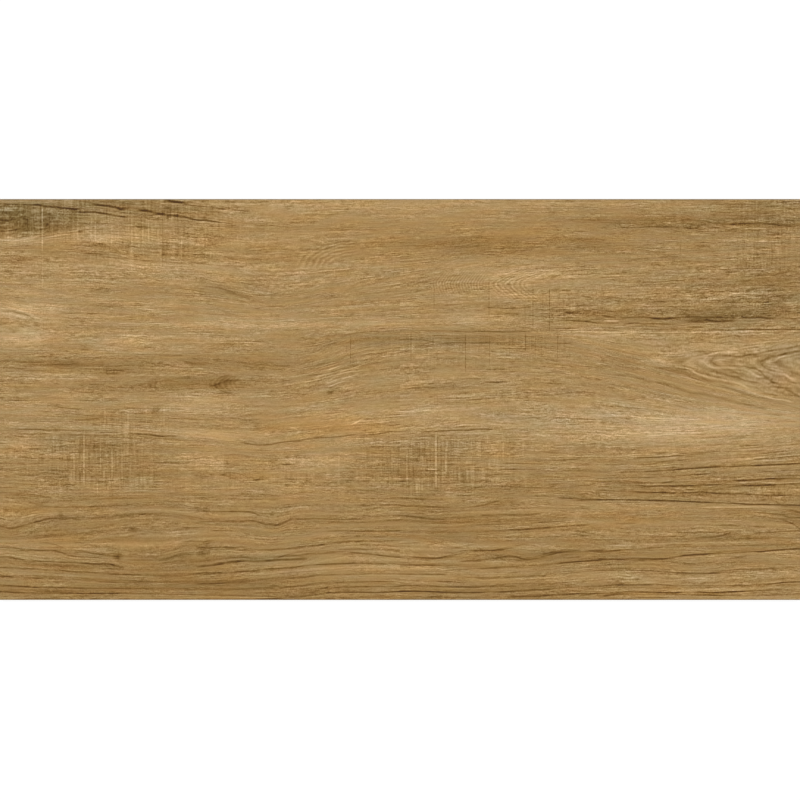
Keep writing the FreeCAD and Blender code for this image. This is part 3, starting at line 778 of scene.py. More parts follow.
        (1.5, 14, (638, 484), (682, 483.5)), (2.0, -29, (634, 491.8), (650, 492.8), (666, 492)),
        (1.9, -27, (663, 493), (674, 493.6)), (2.1, -35, (680, 492.9), (695, 492.3), (704, 491.4)),
        (2.1, -31, (704, 492.4), (717, 493.1)), (2.1, -30, (718, 493.4), (735, 494), (744, 493.1)),
        (1.9, -29, (743, 494.4), (760, 495), (770, 496), (785, 495), (794, 494.4)),
        (1.8, -27, (596, 500), (614, 500.2)), (1.9, -29, (628, 500), (646, 500.3)),
        (2.3, -36, (646, 500.5), (680, 501.3), (695, 502), (711, 502.4)),
        (2.1, -35, (733, 503.3), (750, 504.5), (767, 504.2)), (1.9, -29, (766, 504.7), (800, 505.3)),
        (1.7, 17, (700, 507.5), (740, 507), (782, 507)), (1.6, -16, (726, 509.1), (742, 509)),
        (1.7, -23, (756, 512.3), (770, 513.5), (787, 514.7)),
        (2.1, -25, (781, 515), (792, 518), (800, 517.6)), (2.1, -30, (784, 520.4), (793, 524), (800, 529)),
        (1.7, -19, (790, 509.5), (800, 513)), (1.7, -23, (616, 524), (637, 523)),
        (1.6, -17, (618, 528.1), (642, 527.5)), (2.8, -19, (718, 525), (737, 525.6)),
        (1.7, -16, (638, 531), (662, 532)), (1.7, -19, (678, 532.5), (712, 532.3)),
        (1.9, -27, (756, 533.1), (775, 532), (800, 530.8)),
        (2.3, -23, (698, 537.2), (720, 536), (729, 533.3)),
    ),
    "crack and rings of the bottom board, left": (
        (1.7, -7, (58, 500.6), (100, 499.8)), (2.2, -16, (96, 499.6), (110, 498.6), (130, 498.2)),
        (1.8, -9, (128, 498.2), (147, 497.5)), (2.2, -15, (73, 507.5), (85, 507.2), (97, 506.7)),
        (2.4, -17, (93, 506.9), (105, 506.2), (115, 506), (130, 504.8)),
        (1.8, -9, (128, 505), (160, 504.5), (182, 505)), (2.0, -15, (178, 510.5), (202, 510.9)),
        (1.8, -11, (76, 513.9), (92, 513)), (1.8, -11, (103, 514.8), (127, 516.1)),
        (2.0, -11, (138, 515.2), (150, 514.2), (160, 513.7)),
        (2.8, -27, (0, 526), (5, 527), (10, 528.3), (18, 527), (25, 525), (32, 523), (42, 520.4)),
        (2.6, -27, (38, 521.3), (48, 519), (60, 518.4), (75, 518.4)),
        (1.9, -13, (72, 518.2), (78, 519.5), (85, 519), (99, 518.4)), (1.7, -9, (95, 518.2), (117, 516.9)),
        (2.2, -13, (138, 530.8), (150, 532), (162, 532.4)), (2.0, -15, (184, 527.5), (203, 527.5)),
        (2.1, -24, (198, 511.2), (220, 511.5), (238, 511.5), (250, 512.2)),
        (2.4, -26, (246, 511.8), (254, 513), (260, 516)), (1.7, -15, (256, 515.4), (270, 516.3)),
        (1.9, -18, (198, 521.8), (222, 521.5), (237, 521.3)),
        (2.4, -26, (238, 522), (255, 521.2), (262, 523.5), (270, 524.5), (280, 525.3)),
        (2.6, -28, (276, 525.4), (284, 522.5), (292, 518.8)),
        (2.0, -24, (296, 519), (318, 518.8), (332, 519.3)),
        (2.0, -26, (333, 519.2), (345, 519.5), (358, 518.8)), (1.9, -20, (213, 530.4), (232, 531)),
        (2.2, -20, (328, 531.1), (347, 530.4)), (2.2, -24, (348, 530.9), (380, 531.3), (402, 530.6)),
        (2.0, -18, (288, 532.2), (310, 530.9)), (3.6, -12, (243, 532.4), (255, 536), (267, 536)),
        (2.1, -24, (360, 505.6), (380, 505), (402, 505.3)), (1.8, -18, (383, 499.2), (398, 498)),
        (2.2, -15, (238, 499.5), (265, 499.2), (277, 499.5)), (1.8, -15, (198, 498.1), (217, 497)),
    ),
    "rings of the bottom board, centre": (
        (2.2, -26, (398, 498.8), (412, 498.6), (422, 499.3)), (1.9, -17, (420, 499.4), (442, 500)),
        (2.2, -26, (398, 506), (420, 506), (440, 507.3)), (1.9, -17, (438, 507.4), (450, 507.5)),
        (1.9, -17, (468, 507.3), (480, 505.8)), (2.4, -22, (482, 505.7), (490, 503), (498, 501)),
        (1.8, -15, (484, 507.4), (502, 506.4)), (2.2, -17, (493, 498.6), (514, 498)),
        (2.0, -22, (458, 495.8), (472, 495.6)), (1.8, -13, (503, 494.8), (517, 492.7)),
        (1.9, -22, (534, 496), (550, 496)), (1.9, -17, (558, 498), (570, 498)),
        (2.0, -24, (578, 500.2), (602, 500.1)),
        (2.1, -24, (398, 515.3), (412, 516.5), (425, 518.5), (444, 519.7)),
        (3.0, -17, (482, 515.5), (494, 515)),
        (2.2, -17, (496, 514.2), (520, 515), (530, 514.5), (538, 513.6)),
        (2.0, -22, (476, 524.9), (490, 524.3), (507, 524)), (1.8, -17, (536, 522.6), (562, 521.7)),
        (2.5, -32, (508, 530), (520, 529.6), (535, 528.6), (548, 527.7)),
        (2.0, -25, (544, 528), (558, 526.8), (570, 526), (587, 525.2)),
        (2.2, -25, (573, 530.8), (586, 532.2)), (1.6, 14, (560, 523.6), (580, 523)),
    ),
    "knotted rings of the bottom board": (
        (1.9, -17, (0, 547), (12, 547), (22, 549.5)), (2.1, -20, (18, 550.2), (40, 550.4), (57, 550)),
        (2.5, -25, (54, 550.4), (62, 553), (68, 555), (75, 556.3)),
        (1.9, -20, (72, 556), (80, 556.8), (97, 557.5)), (1.7, -9, (95, 557.4), (114, 559.2)),
        (2.0, -16, (43, 542.7), (55, 544.5), (64, 548.2)),
        (1.9, -20, (78, 550.5), (92, 553), (100, 554.5), (112, 555.8), (120, 556.5)),
        (1.8, -14, (73, 541.7), (85, 543.5), (97, 546.5)),
        (2.1, -20, (0, 557), (8, 556.5), (16, 558.5), (24, 559.7)), (1.8, -17, (33, 561.2), (57, 561.9)),
        (1.7, -11, (57, 562.2), (86, 563.1)), (2.8, -28, (82, 563.5), (97, 564), (108, 563.5), (114, 565)),
        (2.1, -23, (110, 564), (116, 566), (122, 567.4)),
        (1.7, -16, (0, 567.5), (15, 567.3), (28, 568.5), (42, 569.1)),
        (1.9, -20, (56, 568.6), (66, 571), (80, 572.5)), (1.7, -11, (86, 572.5), (107, 572.9)),
        (2.0, -20, (110, 574.2), (120, 574.6), (142, 575)), (2.1, -20, (0, 576.5), (14, 577)),
        (2.1, -20, (23, 578), (40, 578.2)), (1.7, -11, (38, 578.3), (60, 578)),
        (1.9, -17, (98, 582), (117, 582.5)), (1.7, -14, (123, 582.5), (142, 582)),
        (1.9, -20, (0, 584.8), (15, 586), (38, 587.6)), (1.8, -14, (48, 587.2), (82, 588)),
        (1.8, -14, (113, 588.2), (132, 588.5)), (2.1, -25, (0, 591.8), (12, 592.3), (26, 592.9)),
        (2.1, -24, (46, 591.6), (60, 592.4), (70, 592.9)), (1.9, -17, (68, 593), (94, 593.6)),
        (1.9, -20, (91, 593.2), (112, 593.3)), (1.9, -20, (112, 593.6), (132, 592.4)),
        (2.1, -23, (26, 598), (62, 598.5)),
        (4.0, -16, (158, 559.8), (168, 558.5), (175, 556.5), (182, 554.5), (194, 553.7)),
        (1.9, -14, (128, 560), (152, 560)), (1.9, -14, (163, 552.6), (175, 549.5), (186, 548.3)),
        (2.0, -17, (154, 576), (175, 575.6), (182, 576.4)), (1.9, -14, (186, 575.2), (204, 572.9)),
        (1.9, -16, (182, 541), (202, 541)), (1.9, -14, (128, 536.2), (138, 534.8)),
        (2.8, -20, (197, 547.6), (211, 548)),
    ),
    "thick rings under the cat eye": (
        (2.0, -24, (213, 547.3), (230, 547.2), (247, 547)),
        (2.2, -20, (209, 549), (230, 549.5), (250, 550), (272, 550)),
        (2.0, -16, (268, 549.9), (285, 549), (302, 547.8)),
        (2.2, -28, (298, 546.6), (312, 546), (324, 544.2)),
        (2.4, -28, (320, 544.8), (335, 543), (348, 541.5), (361, 541.3)),
        (2.0, -18, (358, 541.2), (380, 541.5), (402, 540)),
        (1.9, -21, (313, 538.6), (330, 537.8), (345, 536.3), (360, 536)),
        (1.8, -16, (338, 549.6), (382, 549.5)), (2.8, -31, (198, 566.7), (210, 565.5), (222, 564)),
        (3.4, -28, (217, 563.8), (230, 562.5), (243, 560.8)),
        (2.6, -18, (228, 558.2), (245, 557.5), (258, 558.7)),
        (2.8, -25, (238, 561), (255, 561.5), (271, 561)),
        (3.2, -32, (266, 560.9), (280, 559.8), (292, 559.5), (307, 558.6)),
        (3.2, -20, (276, 557), (290, 555.5), (304, 556)),
        (2.6, -16, (302, 554.2), (318, 553.5), (337, 552.4)),
        (2.6, -16, (343, 554.2), (362, 553), (382, 555.4)), (2.2, -21, (378, 555.3), (403, 556.9)),
        (2.2, -28, (266, 569.2), (280, 568.5), (292, 567.8), (303, 566.2)),
        (2.0, -16, (198, 573), (222, 572.5)), (2.2, -25, (238, 571.6), (258, 571)),
        (2.2, -24, (316, 564.7), (335, 564.2), (352, 563.2)),
        (2.0, -18, (350, 563.2), (370, 563.8), (387, 564.6)),
        (2.2, -18, (288, 578.1), (300, 577.5), (314, 576.1)), (1.8, -14, (313, 574.9), (337, 574.4)),
        (1.8, -14, (343, 575.1), (372, 573.4)), (2.2, -26, (198, 584.1), (215, 583.6), (227, 582.9)),
        (4.2, -14, (228, 582), (247, 582.6)), (2.0, -16, (253, 589.1), (272, 587.9)),
        (2.2, -21, (278, 588.2), (295, 586.6), (307, 585.8)),
        (1.9, -16, (303, 585.8), (320, 583.5), (342, 582.4)),
        (2.1, -23, (338, 582.6), (370, 581.8), (392, 581.4)), (2.1, -28, (316, 590.2), (327, 587.8)),
        (2.1, -28, (331, 587.7), (350, 587), (370, 586.6)), (1.9, -16, (368, 586.6), (402, 586.3)),
        (2.2, -31, (297, 597.4), (310, 595.5), (325, 593.7)),
        (2.2, -28, (326, 593.3), (345, 592.5), (364, 592.2)),
        (2.1, -31, (362, 592.3), (385, 592), (404, 591.2)), (2.2, -31, (259, 599.1), (283, 598.2)),
    ),
    "foot rings of the bottom board, centre": (
        (2.1, -32, (411, 556.9), (425, 558), (443, 558.1)),
        (2.3, -24, (438, 557.7), (452, 555.5), (465, 552.7)),
        (2.1, -19, (453, 548.3), (465, 546), (473, 544.7)),
        (2.1, -37, (471, 550.9), (490, 550.5), (505, 549.8)), (1.9, -24, (500, 549.2), (516, 547.2)),
        (2.0, -32, (461, 561.6), (482, 560.9)), (1.9, -19, (494, 558.8), (508, 556.8)),
        (2.1, -29, (505, 556.7), (516, 557), (524, 559.4), (538, 558.2)),
        (1.9, -24, (541, 557), (555, 553.9)), (3.4, -32, (545, 553.8), (561, 552.2)),
        (2.1, -34, (558, 552.3), (578, 550.5)), (2.1, -19, (566, 558.2), (580, 556.9)),
        (2.1, -28, (557, 563.7), (575, 562), (590, 560.8), (603, 559.8)),
        (2.4, -29, (587, 551.1), (603, 550.4)), (1.9, -22, (428, 544.8), (442, 542.5)),
        (1.9, -22, (398, 543.6), (420, 542.7)), (1.8, -24, (398, 565), (440, 565.2)),
        (1.9, -29, (481, 568.9), (497, 567.9)), (1.7, -15, (497, 567.6), (521, 567.3)),
        (2.1, -22, (398, 574.5), (445, 574.3)), (2.4, -28, (477, 578.4), (490, 578.6), (498, 577.9)),
        (1.9, -21, (500, 578.2), (520, 577), (548, 575.3)), (2.1, -28, (437, 581.5), (453, 581.5)),
        (1.9, -24, (398, 585.5), (425, 585.3), (443, 586.7)),
        (1.8, -19, (445, 586.9), (470, 587.3), (503, 585.8)),
        (2.1, -34, (400, 591.2), (415, 591), (443, 592.1)),
        (2.1, -32, (438, 592.2), (460, 592.6), (483, 592.6)),
        (2.0, -32, (497, 592.2), (515, 591.5), (533, 590.3)), (1.9, -22, (427, 597.3), (443, 595.8)),
        (2.1, -34, (511, 596.9), (530, 596.5), (549, 595.6)),
        (2.1, -34, (545, 595.2), (565, 594.6), (583, 593.4)), (2.3, -32, (580, 595.3), (596, 593.8)),
        (1.8, -24, (533, 590.3), (551, 589.7)), (1.8, -19, (546, 536.5), (560, 536.5)),
    ),
    "long rings of the bottom board": (
        (1.6, -14, (200, 547), (250, 549), (280, 548.6), (300, 547), (320, 543.6), (340, 541.4),
         (396, 539.8)),
        (1.7, -15, (276, 558.4), (286, 555), (340, 551.6), (380, 555.6), (402, 558), (444, 557),
         (456, 552.4), (468, 550)),
        (1.6, -14, (200, 574.6), (250, 571), (280, 568), (320, 564.4), (370, 563), (400, 564.4),
         (454, 566)),
        (1.6, -14, (244, 581), (288, 577), (328, 575), (360, 573.6), (444, 574.4)),
        (1.6, -14, (220, 591), (264, 587.4), (300, 585.6), (320, 582.4), (364, 581), (396, 581.6)),
        (1.6, -15, (256, 593), (312, 590), (324, 587.4), (370, 586), (444, 587), (480, 587)),
        (1.8, -16, (290, 597), (324, 593), (344, 592), (376, 592.6), (416, 591)),
        (1.7, -15, (460, 561), (478, 560), (495, 558), (511, 555.6), (516, 556.2), (521, 558),
         (532, 557.4), (545, 554), (553, 551.6), (576, 549.6)),
        (1.6, -15, (460, 551), (473, 549.8), (497, 549.6), (504, 547.6), (515, 545.8), (526, 544)),
        (1.6, -15, (440, 571), (483, 568), (505, 566.6), (530, 565.6), (552, 564)),
        (1.7, -17, (466, 577.8), (493, 577), (530, 575.6), (555, 574), (575, 572.6), (602, 570.2)),
        (1.6, -15, (450, 587), (490, 585.6), (510, 584), (545, 583.6), (570, 582.2), (600, 580),
         (625, 578.4)),
        (1.7, -18, (486, 591.8), (505, 591.6), (520, 590.2), (560, 588), (580, 586.6), (600, 586),
         (625, 583)),
        (1.8, -22, (400, 591.3), (440, 592), (486, 592.2)),
        (1.6, -17, (560, 458), (620, 457.6), (661, 457), (722, 450.9), (760, 447.2), (800, 443.6)),
        (1.6, -17, (640, 464.8), (660, 463.6), (697, 460.8), (740, 457.6), (800, 453)),
        (1.7, -20, (620, 472.2), (668, 470.4), (717, 466.8), (755, 465.2), (800, 463.5)),
        (1.6, -17, (640, 477.6), (676, 476), (705, 474), (750, 472.4), (800, 470)),
        (1.7, -20, (600, 482), (647, 482.5), (690, 481.5), (741, 479.8), (800, 477)),
        (1.7, -20, (620, 485.4), (687, 486), (720, 484.8), (759, 485.4), (800, 483.5)),
        (1.7, -22, (600, 490.6), (632, 491.6), (661, 492.6), (705, 493), (744, 494), (800, 496)),
        (1.8, -24, (560, 497.9), (596, 499.6), (632, 499.6), (705, 502.2), (764, 504.6), (800, 505.2)),
        (1.6, -17, (560, 553), (591, 551.2), (620, 550), (650, 547.8), (700, 546.6), (800, 544)),
        (1.8, -22, (560, 562.6), (600, 560), (668, 558.4), (684, 555.6), (723, 553.6), (800, 548.6)),
        (1.6, -17, (600, 570.4), (640, 570.6), (686, 572.9), (719, 572.4), (800, 567)),
        (1.6, -18, (600, 585.8), (650, 584.8), (690, 585.4), (752, 584.8), (800, 581.4)),
        (1.8, -22, (510, 596.2), (530, 595.2), (560, 594.2), (590, 593.4), (647, 592.4), (700, 592.4),
         (800, 589.4)),
        (1.7, -20, (596, 595.6), (620, 594.6), (700, 595), (760, 595.6), (800, 594)),
        (1.6, -12, (0, 547), (30, 549.4), (60, 552.4), (90, 555.4), (117, 557)),
        (1.6, -12, (0, 556.8), (24, 559.6), (57, 562), (90, 563.4), (118, 566)),
        (1.6, -12, (0, 567.4), (42, 569.2), (110, 573.6), (182, 575.8), (204, 573), (240, 571.4)),
        (1.6, -12, (0, 576.8), (80, 580), (117, 582.4), (200, 584), (227, 583)),
        (1.6, -12, (0, 584.8), (38, 587.4), (132, 588.5), (200, 589.4), (250, 589)),
        (1.8, -19, (0, 591.6), (26, 592.8), (112, 593.4), (200, 595), (250, 596), (297, 597)),
        (1.6, 14, (0, 597.4), (135, 597.6), (270, 597.2)),
    ),
    "foot rings of the bottom board, right": (
        (2.1, -34, (596, 552.2), (608, 551.5), (621, 550.1)), (1.8, -17, (638, 549.6), (663, 547.3)),
        (2.4, -29, (598, 558.8), (620, 559.2), (635, 558.4)),
        (2.4, -37, (636, 558.5), (655, 558.8), (671, 558.7)), (1.9, -17, (668, 557.2), (688, 555.8)),
        (2.6, -38, (682, 555.5), (695, 554.8), (708, 554)), (2.1, -25, (704, 554.1), (723, 552.4)),
        (2.4, -35, (732, 557.6), (745, 556.9)),
        (2.1, -30, (757, 552.3), (772, 550.5), (785, 549.7), (800, 549)),
        (1.6, -14, (732, 552), (762, 551.5)), (1.9, -21, (683, 563.4), (697, 564.1)),
        (1.9, -17, (698, 563.1), (718, 561.8)), (1.8, -21, (598, 570.5), (623, 570)),
        (1.8, -19, (637, 570.4), (663, 571.1)), (2.1, -29, (676, 572.8), (700, 573.5), (718, 573.1)),
        (1.9, -21, (715, 571.3), (738, 569.8)), (2.1, -29, (737, 569.2), (760, 569), (775, 567.4)),
        (1.8, -21, (770, 567.7), (793, 566.9)), (1.9, -30, (616, 584.8), (635, 585), (653, 584.7)),
        (1.8, -21, (602, 585.6), (619, 584.9)), (1.8, -21, (657, 584.3), (673, 585.7)),
        (1.8, -21, (732, 585), (751, 585.3)), (2.1, -29, (765, 584.8), (783, 582.7)),
        (1.9, -34, (779, 582.7), (800, 581.8)), (2.1, -30, (616, 592), (635, 591.2)),
        (2.0, -29, (636, 592), (653, 592)), (2.1, -35, (656, 592.3), (672, 592.8), (683, 592.2)),
        (2.3, -38, (696, 591.8), (715, 592.8), (730, 592), (745, 591.1)),
        (1.9, -29, (740, 591.4), (760, 590), (783, 588.8)), (2.8, -32, (602, 596.4), (615, 594.7)),
        (2.1, -32, (702, 594.8), (723, 595.9)), (1.8, -21, (637, 597.5), (668, 597.5)),
        (1.7, 25, (612, 545.6), (628, 544.9)), (1.7, 25, (777, 553.8), (798, 555.2)),
        (1.9, -22, (667, 545.1), (693, 544.4)), (1.7, 29, (687, 578.5), (709, 578.3)),
        (1.6, 23, (637, 582.6), (658, 581.9)), (1.9, -21, (620, 579.8), (640, 579.5)),
    ),
}

# Knots and dark or light flecks: column, row, half length, half width, tone
KNOTS = (
    (80.2, 231.1, 2.2, 1.3, -60), (80, 229, 2.6, 1.2, 26), (691, 225.6, 4, 2.4, -16), (2, 324, 5, 2.4, -9),
    (10.5, 328, 2.4, 1.3, -18), (13.5, 331.6, 2.6, 1.4, -20), (16, 330.2, 2.4, 1.1, -14),
    (25, 330, 3, 3, 10), (14, 325, 4, 1.6, 9), (217, 385.5, 6, 3.0, -14), (227, 383.5, 12, 8, -8),
    (232, 386, 3, 1.4, 16), (237, 382.4, 3, 1.4, 13), (224, 377.4, 3.4, 1.6, -12), (221, 389.6, 4, 1.4, 11),
    (231, 391, 4, 1.6, -11), (197, 361, 10, 5, -8), (228, 380, 9, 2.4, -14), (225, 392, 6, 2.4, -12),
    (155, 411, 2.6, 3.0, -40), (60.5, 514, 2.2, 3.6, -26), (133, 529.5, 4.4, 2.6, -30),
    (117.6, 557, 3.2, 4.5, -38), (114, 561.6, 2.6, 2, 16), (203.5, 554.5, 6.5, 3.6, -16),
    (202, 548.5, 5, 1.6, -11), (194.5, 554, 3, 3, 12), (201.5, 552.3, 1.8, 1.4, -14),
    (207, 549.6, 1.4, 1.8, 10), (183, 556.5, 8, 3.2, -8), (192, 541, 9, 1.4, -12), (208, 541, 6, 1.6, -10),
    (206, 544, 2, 1.2, -13), (575, 516, 6, 4, 20), (727, 534, 4, 2.2, -24), (355.5, 422.6, 3, 1.4, 20),
    (88, 376, 4, 2, 12), (153, 383, 4, 3, -14), (52, 217.8, 7, 4, -10), (119.8, 208.9, 2.4, 1.5, -36),
    (144.5, 210, 3, 1.4, -24), (162, 213.8, 3, 1.5, -22), (177, 215.6, 2.4, 1.3, -20),
    (204.3, 217.6, 1.8, 1.3, -44), (74, 208.9, 4, 1.3, -18), (38.5, 204.8, 2.6, 1.4, -24),
    (176, 201.8, 5, 1.3, -20), (142, 226.8, 5, 1.8, -18), (34, 212.5, 3.6, 6.5, 12),
    (6.5, 226.6, 4, 2.2, 16), (16, 226.6, 4, 2.2, 16), (72, 221, 2.6, 1.6, 14), (60, 233, 3.4, 2.2, 12),
    (23.5, 226, 4.5, 8, -10), (79, 212.5, 11, 2.6, -8), (9, 220, 10, 3, -8), (84.5, 349.5, 3.4, 3.6, -12),
    (86.8, 357, 1.6, 1.4, -18), (70, 364, 14, 3.2, -6), (77, 374, 5, 2.4, 10), (92.5, 377, 3.4, 1.5, 18),
    (696, 320.8, 8, 4, -10), (746, 312.5, 7, 4, -8), (767, 310, 6, 4, -8), (781, 298, 4, 2.4, -10),
    (730, 316.4, 5, 1.8, -16), (735, 314.6, 4, 2, -8), (754.3, 382.2, 3.6, 1.6, -14),
    (743, 385.4, 2.4, 1.3, 16), (772, 388, 5, 4, 8), (778, 364, 6, 5, -8), (779, 375.5, 6, 4.4, -7),
    (767, 359.4, 1.8, 1.2, -18), (785, 353.2, 2, 1.1, -18), (774, 382.4, 2.6, 1.2, -14),
    (754, 373.5, 3, 2, 8), (330.5, 392.4, 3.2, 1.8, -58), (334, 371.3, 2.6, 0.9, -26),
    (334, 374.3, 2.6, 0.9, -26),
)

# Marks of the saw's blade, square to the grain: column, top, bottom, width, tone
SAW_MARKS = {
    "weathered corner": (
        (42.3, 203, 253, 2.0, 33), (40.8, 204, 223, 1.6, -18), (42.5, 252, 290, 1.8, 12),
        (34, 205, 220, 4.0, 11), (27.5, 203, 236, 1.8, -14), (20, 205, 235, 2.2, -9),
        (57.5, 204, 220, 1.6, 11), (57.6, 219, 241, 1.6, -14), (68.2, 206, 223, 1.8, 16),
        (69.6, 222, 236, 1.6, -11), (91.8, 214, 246, 1.8, 16), (95.4, 214, 246, 2.0, 19),
        (89.4, 206, 241, 1.6, -11), (92.6, 207, 217, 1.6, -12), (99.4, 205, 217, 1.7, -15),
        (106.5, 206, 223, 1.7, -15), (111.7, 221, 250, 1.7, 14), (124, 204, 222, 1.7, -9),
        (128.6, 208, 232, 1.7, 14), (131.8, 208, 250, 1.8, 12), (141.4, 211, 250, 1.8, -12),
        (137.5, 214, 226, 1.6, 12), (148.6, 204, 246, 1.6, 11), (162.5, 199, 268, 1.8, -12),
        (170.5, 204, 223, 1.6, -12), (177.6, 204, 226, 1.7, -18), (184, 227, 239, 2.0, -18),
        (186.6, 203, 217, 1.6, 12), (189.8, 204, 216, 1.6, 11), (213, 215, 245, 1.6, 9),
        (8, 205, 232, 1.6, 9), (13, 203, 216, 1.8, -11), (158, 218, 262, 1.6, 14), (174, 226, 262, 1.6, 14),
        (181.5, 232, 262, 1.6, 14), (166, 206, 240, 1.6, 12), (153, 212, 262, 1.6, 11),
        (169.4, 224, 262, 1.6, -11), (118, 205, 240, 1.6, 12), (104, 215, 245, 1.6, 11),
        (63.4, 204, 238, 1.6, -10), (51, 206, 238, 1.6, 11), (47, 206, 236, 1.6, -10),
        (77.5, 206, 240, 1.6, 12),
    ),
    "top board": (
        (755, 199, 232, 2.0, -14), (783, 199, 216, 1.8, -12), (680.5, 238, 256, 2.0, -15),
        (729, 203, 226, 1.6, -9), (775, 238, 252, 1.8, -12), (743, 203, 222, 1.6, 11),
        (746, 230, 250, 1.6, 11), (737, 233, 252, 1.6, 11), (434, 280, 312, 1.6, -12),
        (489, 276, 318, 1.6, -19), (533, 282, 330, 1.8, -21), (543, 290, 326, 1.6, -11),
        (549.4, 284, 332, 1.8, -26), (525, 300, 328, 1.6, -12), (519, 302, 316, 1.4, -8),
        (559, 300, 328, 1.6, -9), (720, 300, 320, 1.6, -9), (782, 300, 314, 1.8, -14),
        (440, 303, 312, 1.4, -8), (795, 318, 335, 1.6, -12),
    ),
    "middle board": (
        (411, 331, 362, 1.8, -18), (465.5, 331, 374, 2.0, -25), (489.5, 333, 366, 1.6, -19),
        (433, 333, 352, 1.6, -11), (525.5, 331, 354, 2.0, -28), (535.5, 333, 360, 1.6, -15),
        (557.5, 333, 362, 1.8, -16), (457, 332, 350, 1.6, -11), (511, 335, 350, 1.6, 12),
        (350.5, 334, 368, 1.6, -21), (105, 402, 430, 2.0, 16), (443, 334, 350, 1.6, 11),
        (145, 405, 420, 1.6, -11), (388, 405, 425, 1.6, 9), (530.5, 333, 352, 1.4, 12),
        (420, 334, 356, 1.4, -9), (128, 404, 430, 1.6, 11), (87, 408, 428, 1.6, -9),
        (164, 404, 428, 1.6, 11), (136, 406, 424, 1.6, -9), (545, 334, 352, 1.4, -11),
        (540, 418, 432, 1.6, 11), (708, 406, 424, 1.8, 12), (740, 404, 420, 1.6, 9),
    ),
    "bottom board": (
        (84, 432, 487, 2.2, 33), (74, 445, 482, 1.8, 24), (100.5, 440, 470, 1.6, 24),
        (79, 436, 470, 1.6, -11), (104, 465, 482, 1.6, 32), (112, 445, 482, 1.8, 27),
        (66, 450, 470, 1.6, 11), (89, 440, 480, 1.6, -12), (94, 435, 452, 2.2, -12),
        (107.5, 440, 480, 1.6, -12), (122, 450, 485, 1.8, 18), (117, 440, 478, 1.6, -11),
        (97.5, 478, 497, 1.6, 24), (35, 470, 480, 2.0, 11), (436, 432, 490, 2.4, 33),
        (430, 434, 480, 1.6, -14), (446, 444, 478, 1.8, 24), (421, 440, 470, 1.6, 24),
        (416, 478, 490, 1.8, 24), (441, 438, 486, 1.6, -12), (407, 446, 486, 1.8, 21),
        (425, 434, 456, 2.0, -14), (413, 440, 484, 1.6, -12), (422, 476, 495, 1.6, 24),
        (503, 441, 462, 1.8, 14), (523, 437, 462, 1.8, 12), (339, 448, 500, 1.6, 12),
        (451, 440, 474, 1.6, -9), (247, 452, 478, 1.6, 11), (378, 446, 466, 1.6, 12),
        (398, 440, 480, 1.6, -11), (393, 444, 478, 1.6, 11), (372, 446, 470, 1.6, -9),
        (366, 448, 476, 1.6, 11), (300, 448, 468, 1.6, 11), (313, 452, 474, 1.6, 9),
        (16, 440, 462, 1.6, 11), (24, 438, 458, 1.6, -8), (52, 440, 470, 1.6, -9), (58, 436, 466, 1.6, 11),
    ),
}

# Feathered figure beside a knot: left, right, row of its spine, rise above and drop below the spine,
# lean above and below, spacing, tone
FEATHERS = (
    (428, 487, 284, 18, 13, 1.0, 0.5, 2.9, 9), (484, 530, 284, 18, 21, 2.6, 1.5, 5.2, 11),
    (206, 240, 384, 10, 10, 1.6, 1.6, 5.0, 8), (144, 166, 385, 8, 8, 1.6, 1.6, 6.0, 7),
    (72, 92, 203, 6, 6, 1.2, 1.2, 4.5, 12), (667, 830, 361.5, 17, 36, 5.7, 3.2, 16.3, 8),
)
FEATHER_TAIL = 8.0
FEATHER_BEND = 4.5
FEATHER_FULL = 1.5

# Arches above and left of one point: column, row, flatness, nearest, farthest, spacing, tone
ARCHES = ((356, 269, 2.0, 9, 33, 2.9, 10),)
ARCH_TAIL = 6.0

# How the traced marks are laid down: lengths in the same pixels, and shares
HUNDRED = 100.0
PATCH_FALL = 1.2
WASH_SHARE = 1.28
NARROWEST_COURSE = 1.0
LINE_HALF = 0.60
LINE_SHARE = 1.06
LINE_LAYERS = 4
LINE_TAIL = 6.0
TAIL_SHARE = 0.25
LINE_REACH = 0.5
EDGE_REACH = 2.0
LINE_SIDE = 2.0
HALF_PIXEL = 0.5
STEEP = 0.9
STEEP_TAIL = 1.0
SAW_LAYERS = 3
SAW_FULL = 5.0
SAW_GONE = 8.5
SAW_TAIL = 6.0
SAW_SHARE = 0.9
SAW_NARROWING = 0.9
BOX_TAIL = 0.25
ROW_TAIL = 12.0


def course(points, columns):
    """Row of the smooth line through some points, at each of these columns."""
    at, height = np.array(points, dtype=float).T
    slope = np.gradient(height, at)
    first = np.clip(np.searchsorted(at, columns) - 1, 0, len(at) - 2)
    gap = at[first + 1] - at[first]
    share = np.clip((columns - at[first]) / gap, 0, 1)
    rest = 1 - share
    ends = rest ** 2 * (1 + 2 * share) * height[first] + share ** 2 * (1 + 2 * rest) * height[first + 1]
    return ends + gap * share * rest * (rest * slope[first] - share * slope[first + 1])


def patch_sum(patches, columns, rows):
    """Soft oval patches, added up."""
    total = np.zeros_like(columns)
    for middle_column, middle_row, half_length, half_width, amount in patches:
        reach = ((columns - middle_column) / half_length) ** 2 + ((rows - middle_row) / half_width) ** 2
        total += amount / HUNDRED * np.exp(-PATCH_FALL * reach)
    return total


def soft_span(values, start, end, tail):
    """One between two limits, falling to nothing over a tail inside each of them."""
    return np.clip((values - start) / tail, 0, 1) * np.clip((end - values) / tail, 0, 1)


def soft_boxes(boxes, columns, rows):
    """The strongest of some soft-sided boxes at each point."""
    strongest = np.zeros_like(columns)
    for left, right, top, bottom, strength in boxes:
        inside = soft_span(columns, left, right, BOX_TAIL * (right - left))
        inside *= soft_span(rows, top, bottom, ROW_TAIL)
        strongest = np.maximum(strongest, strength * inside)
    return strongest


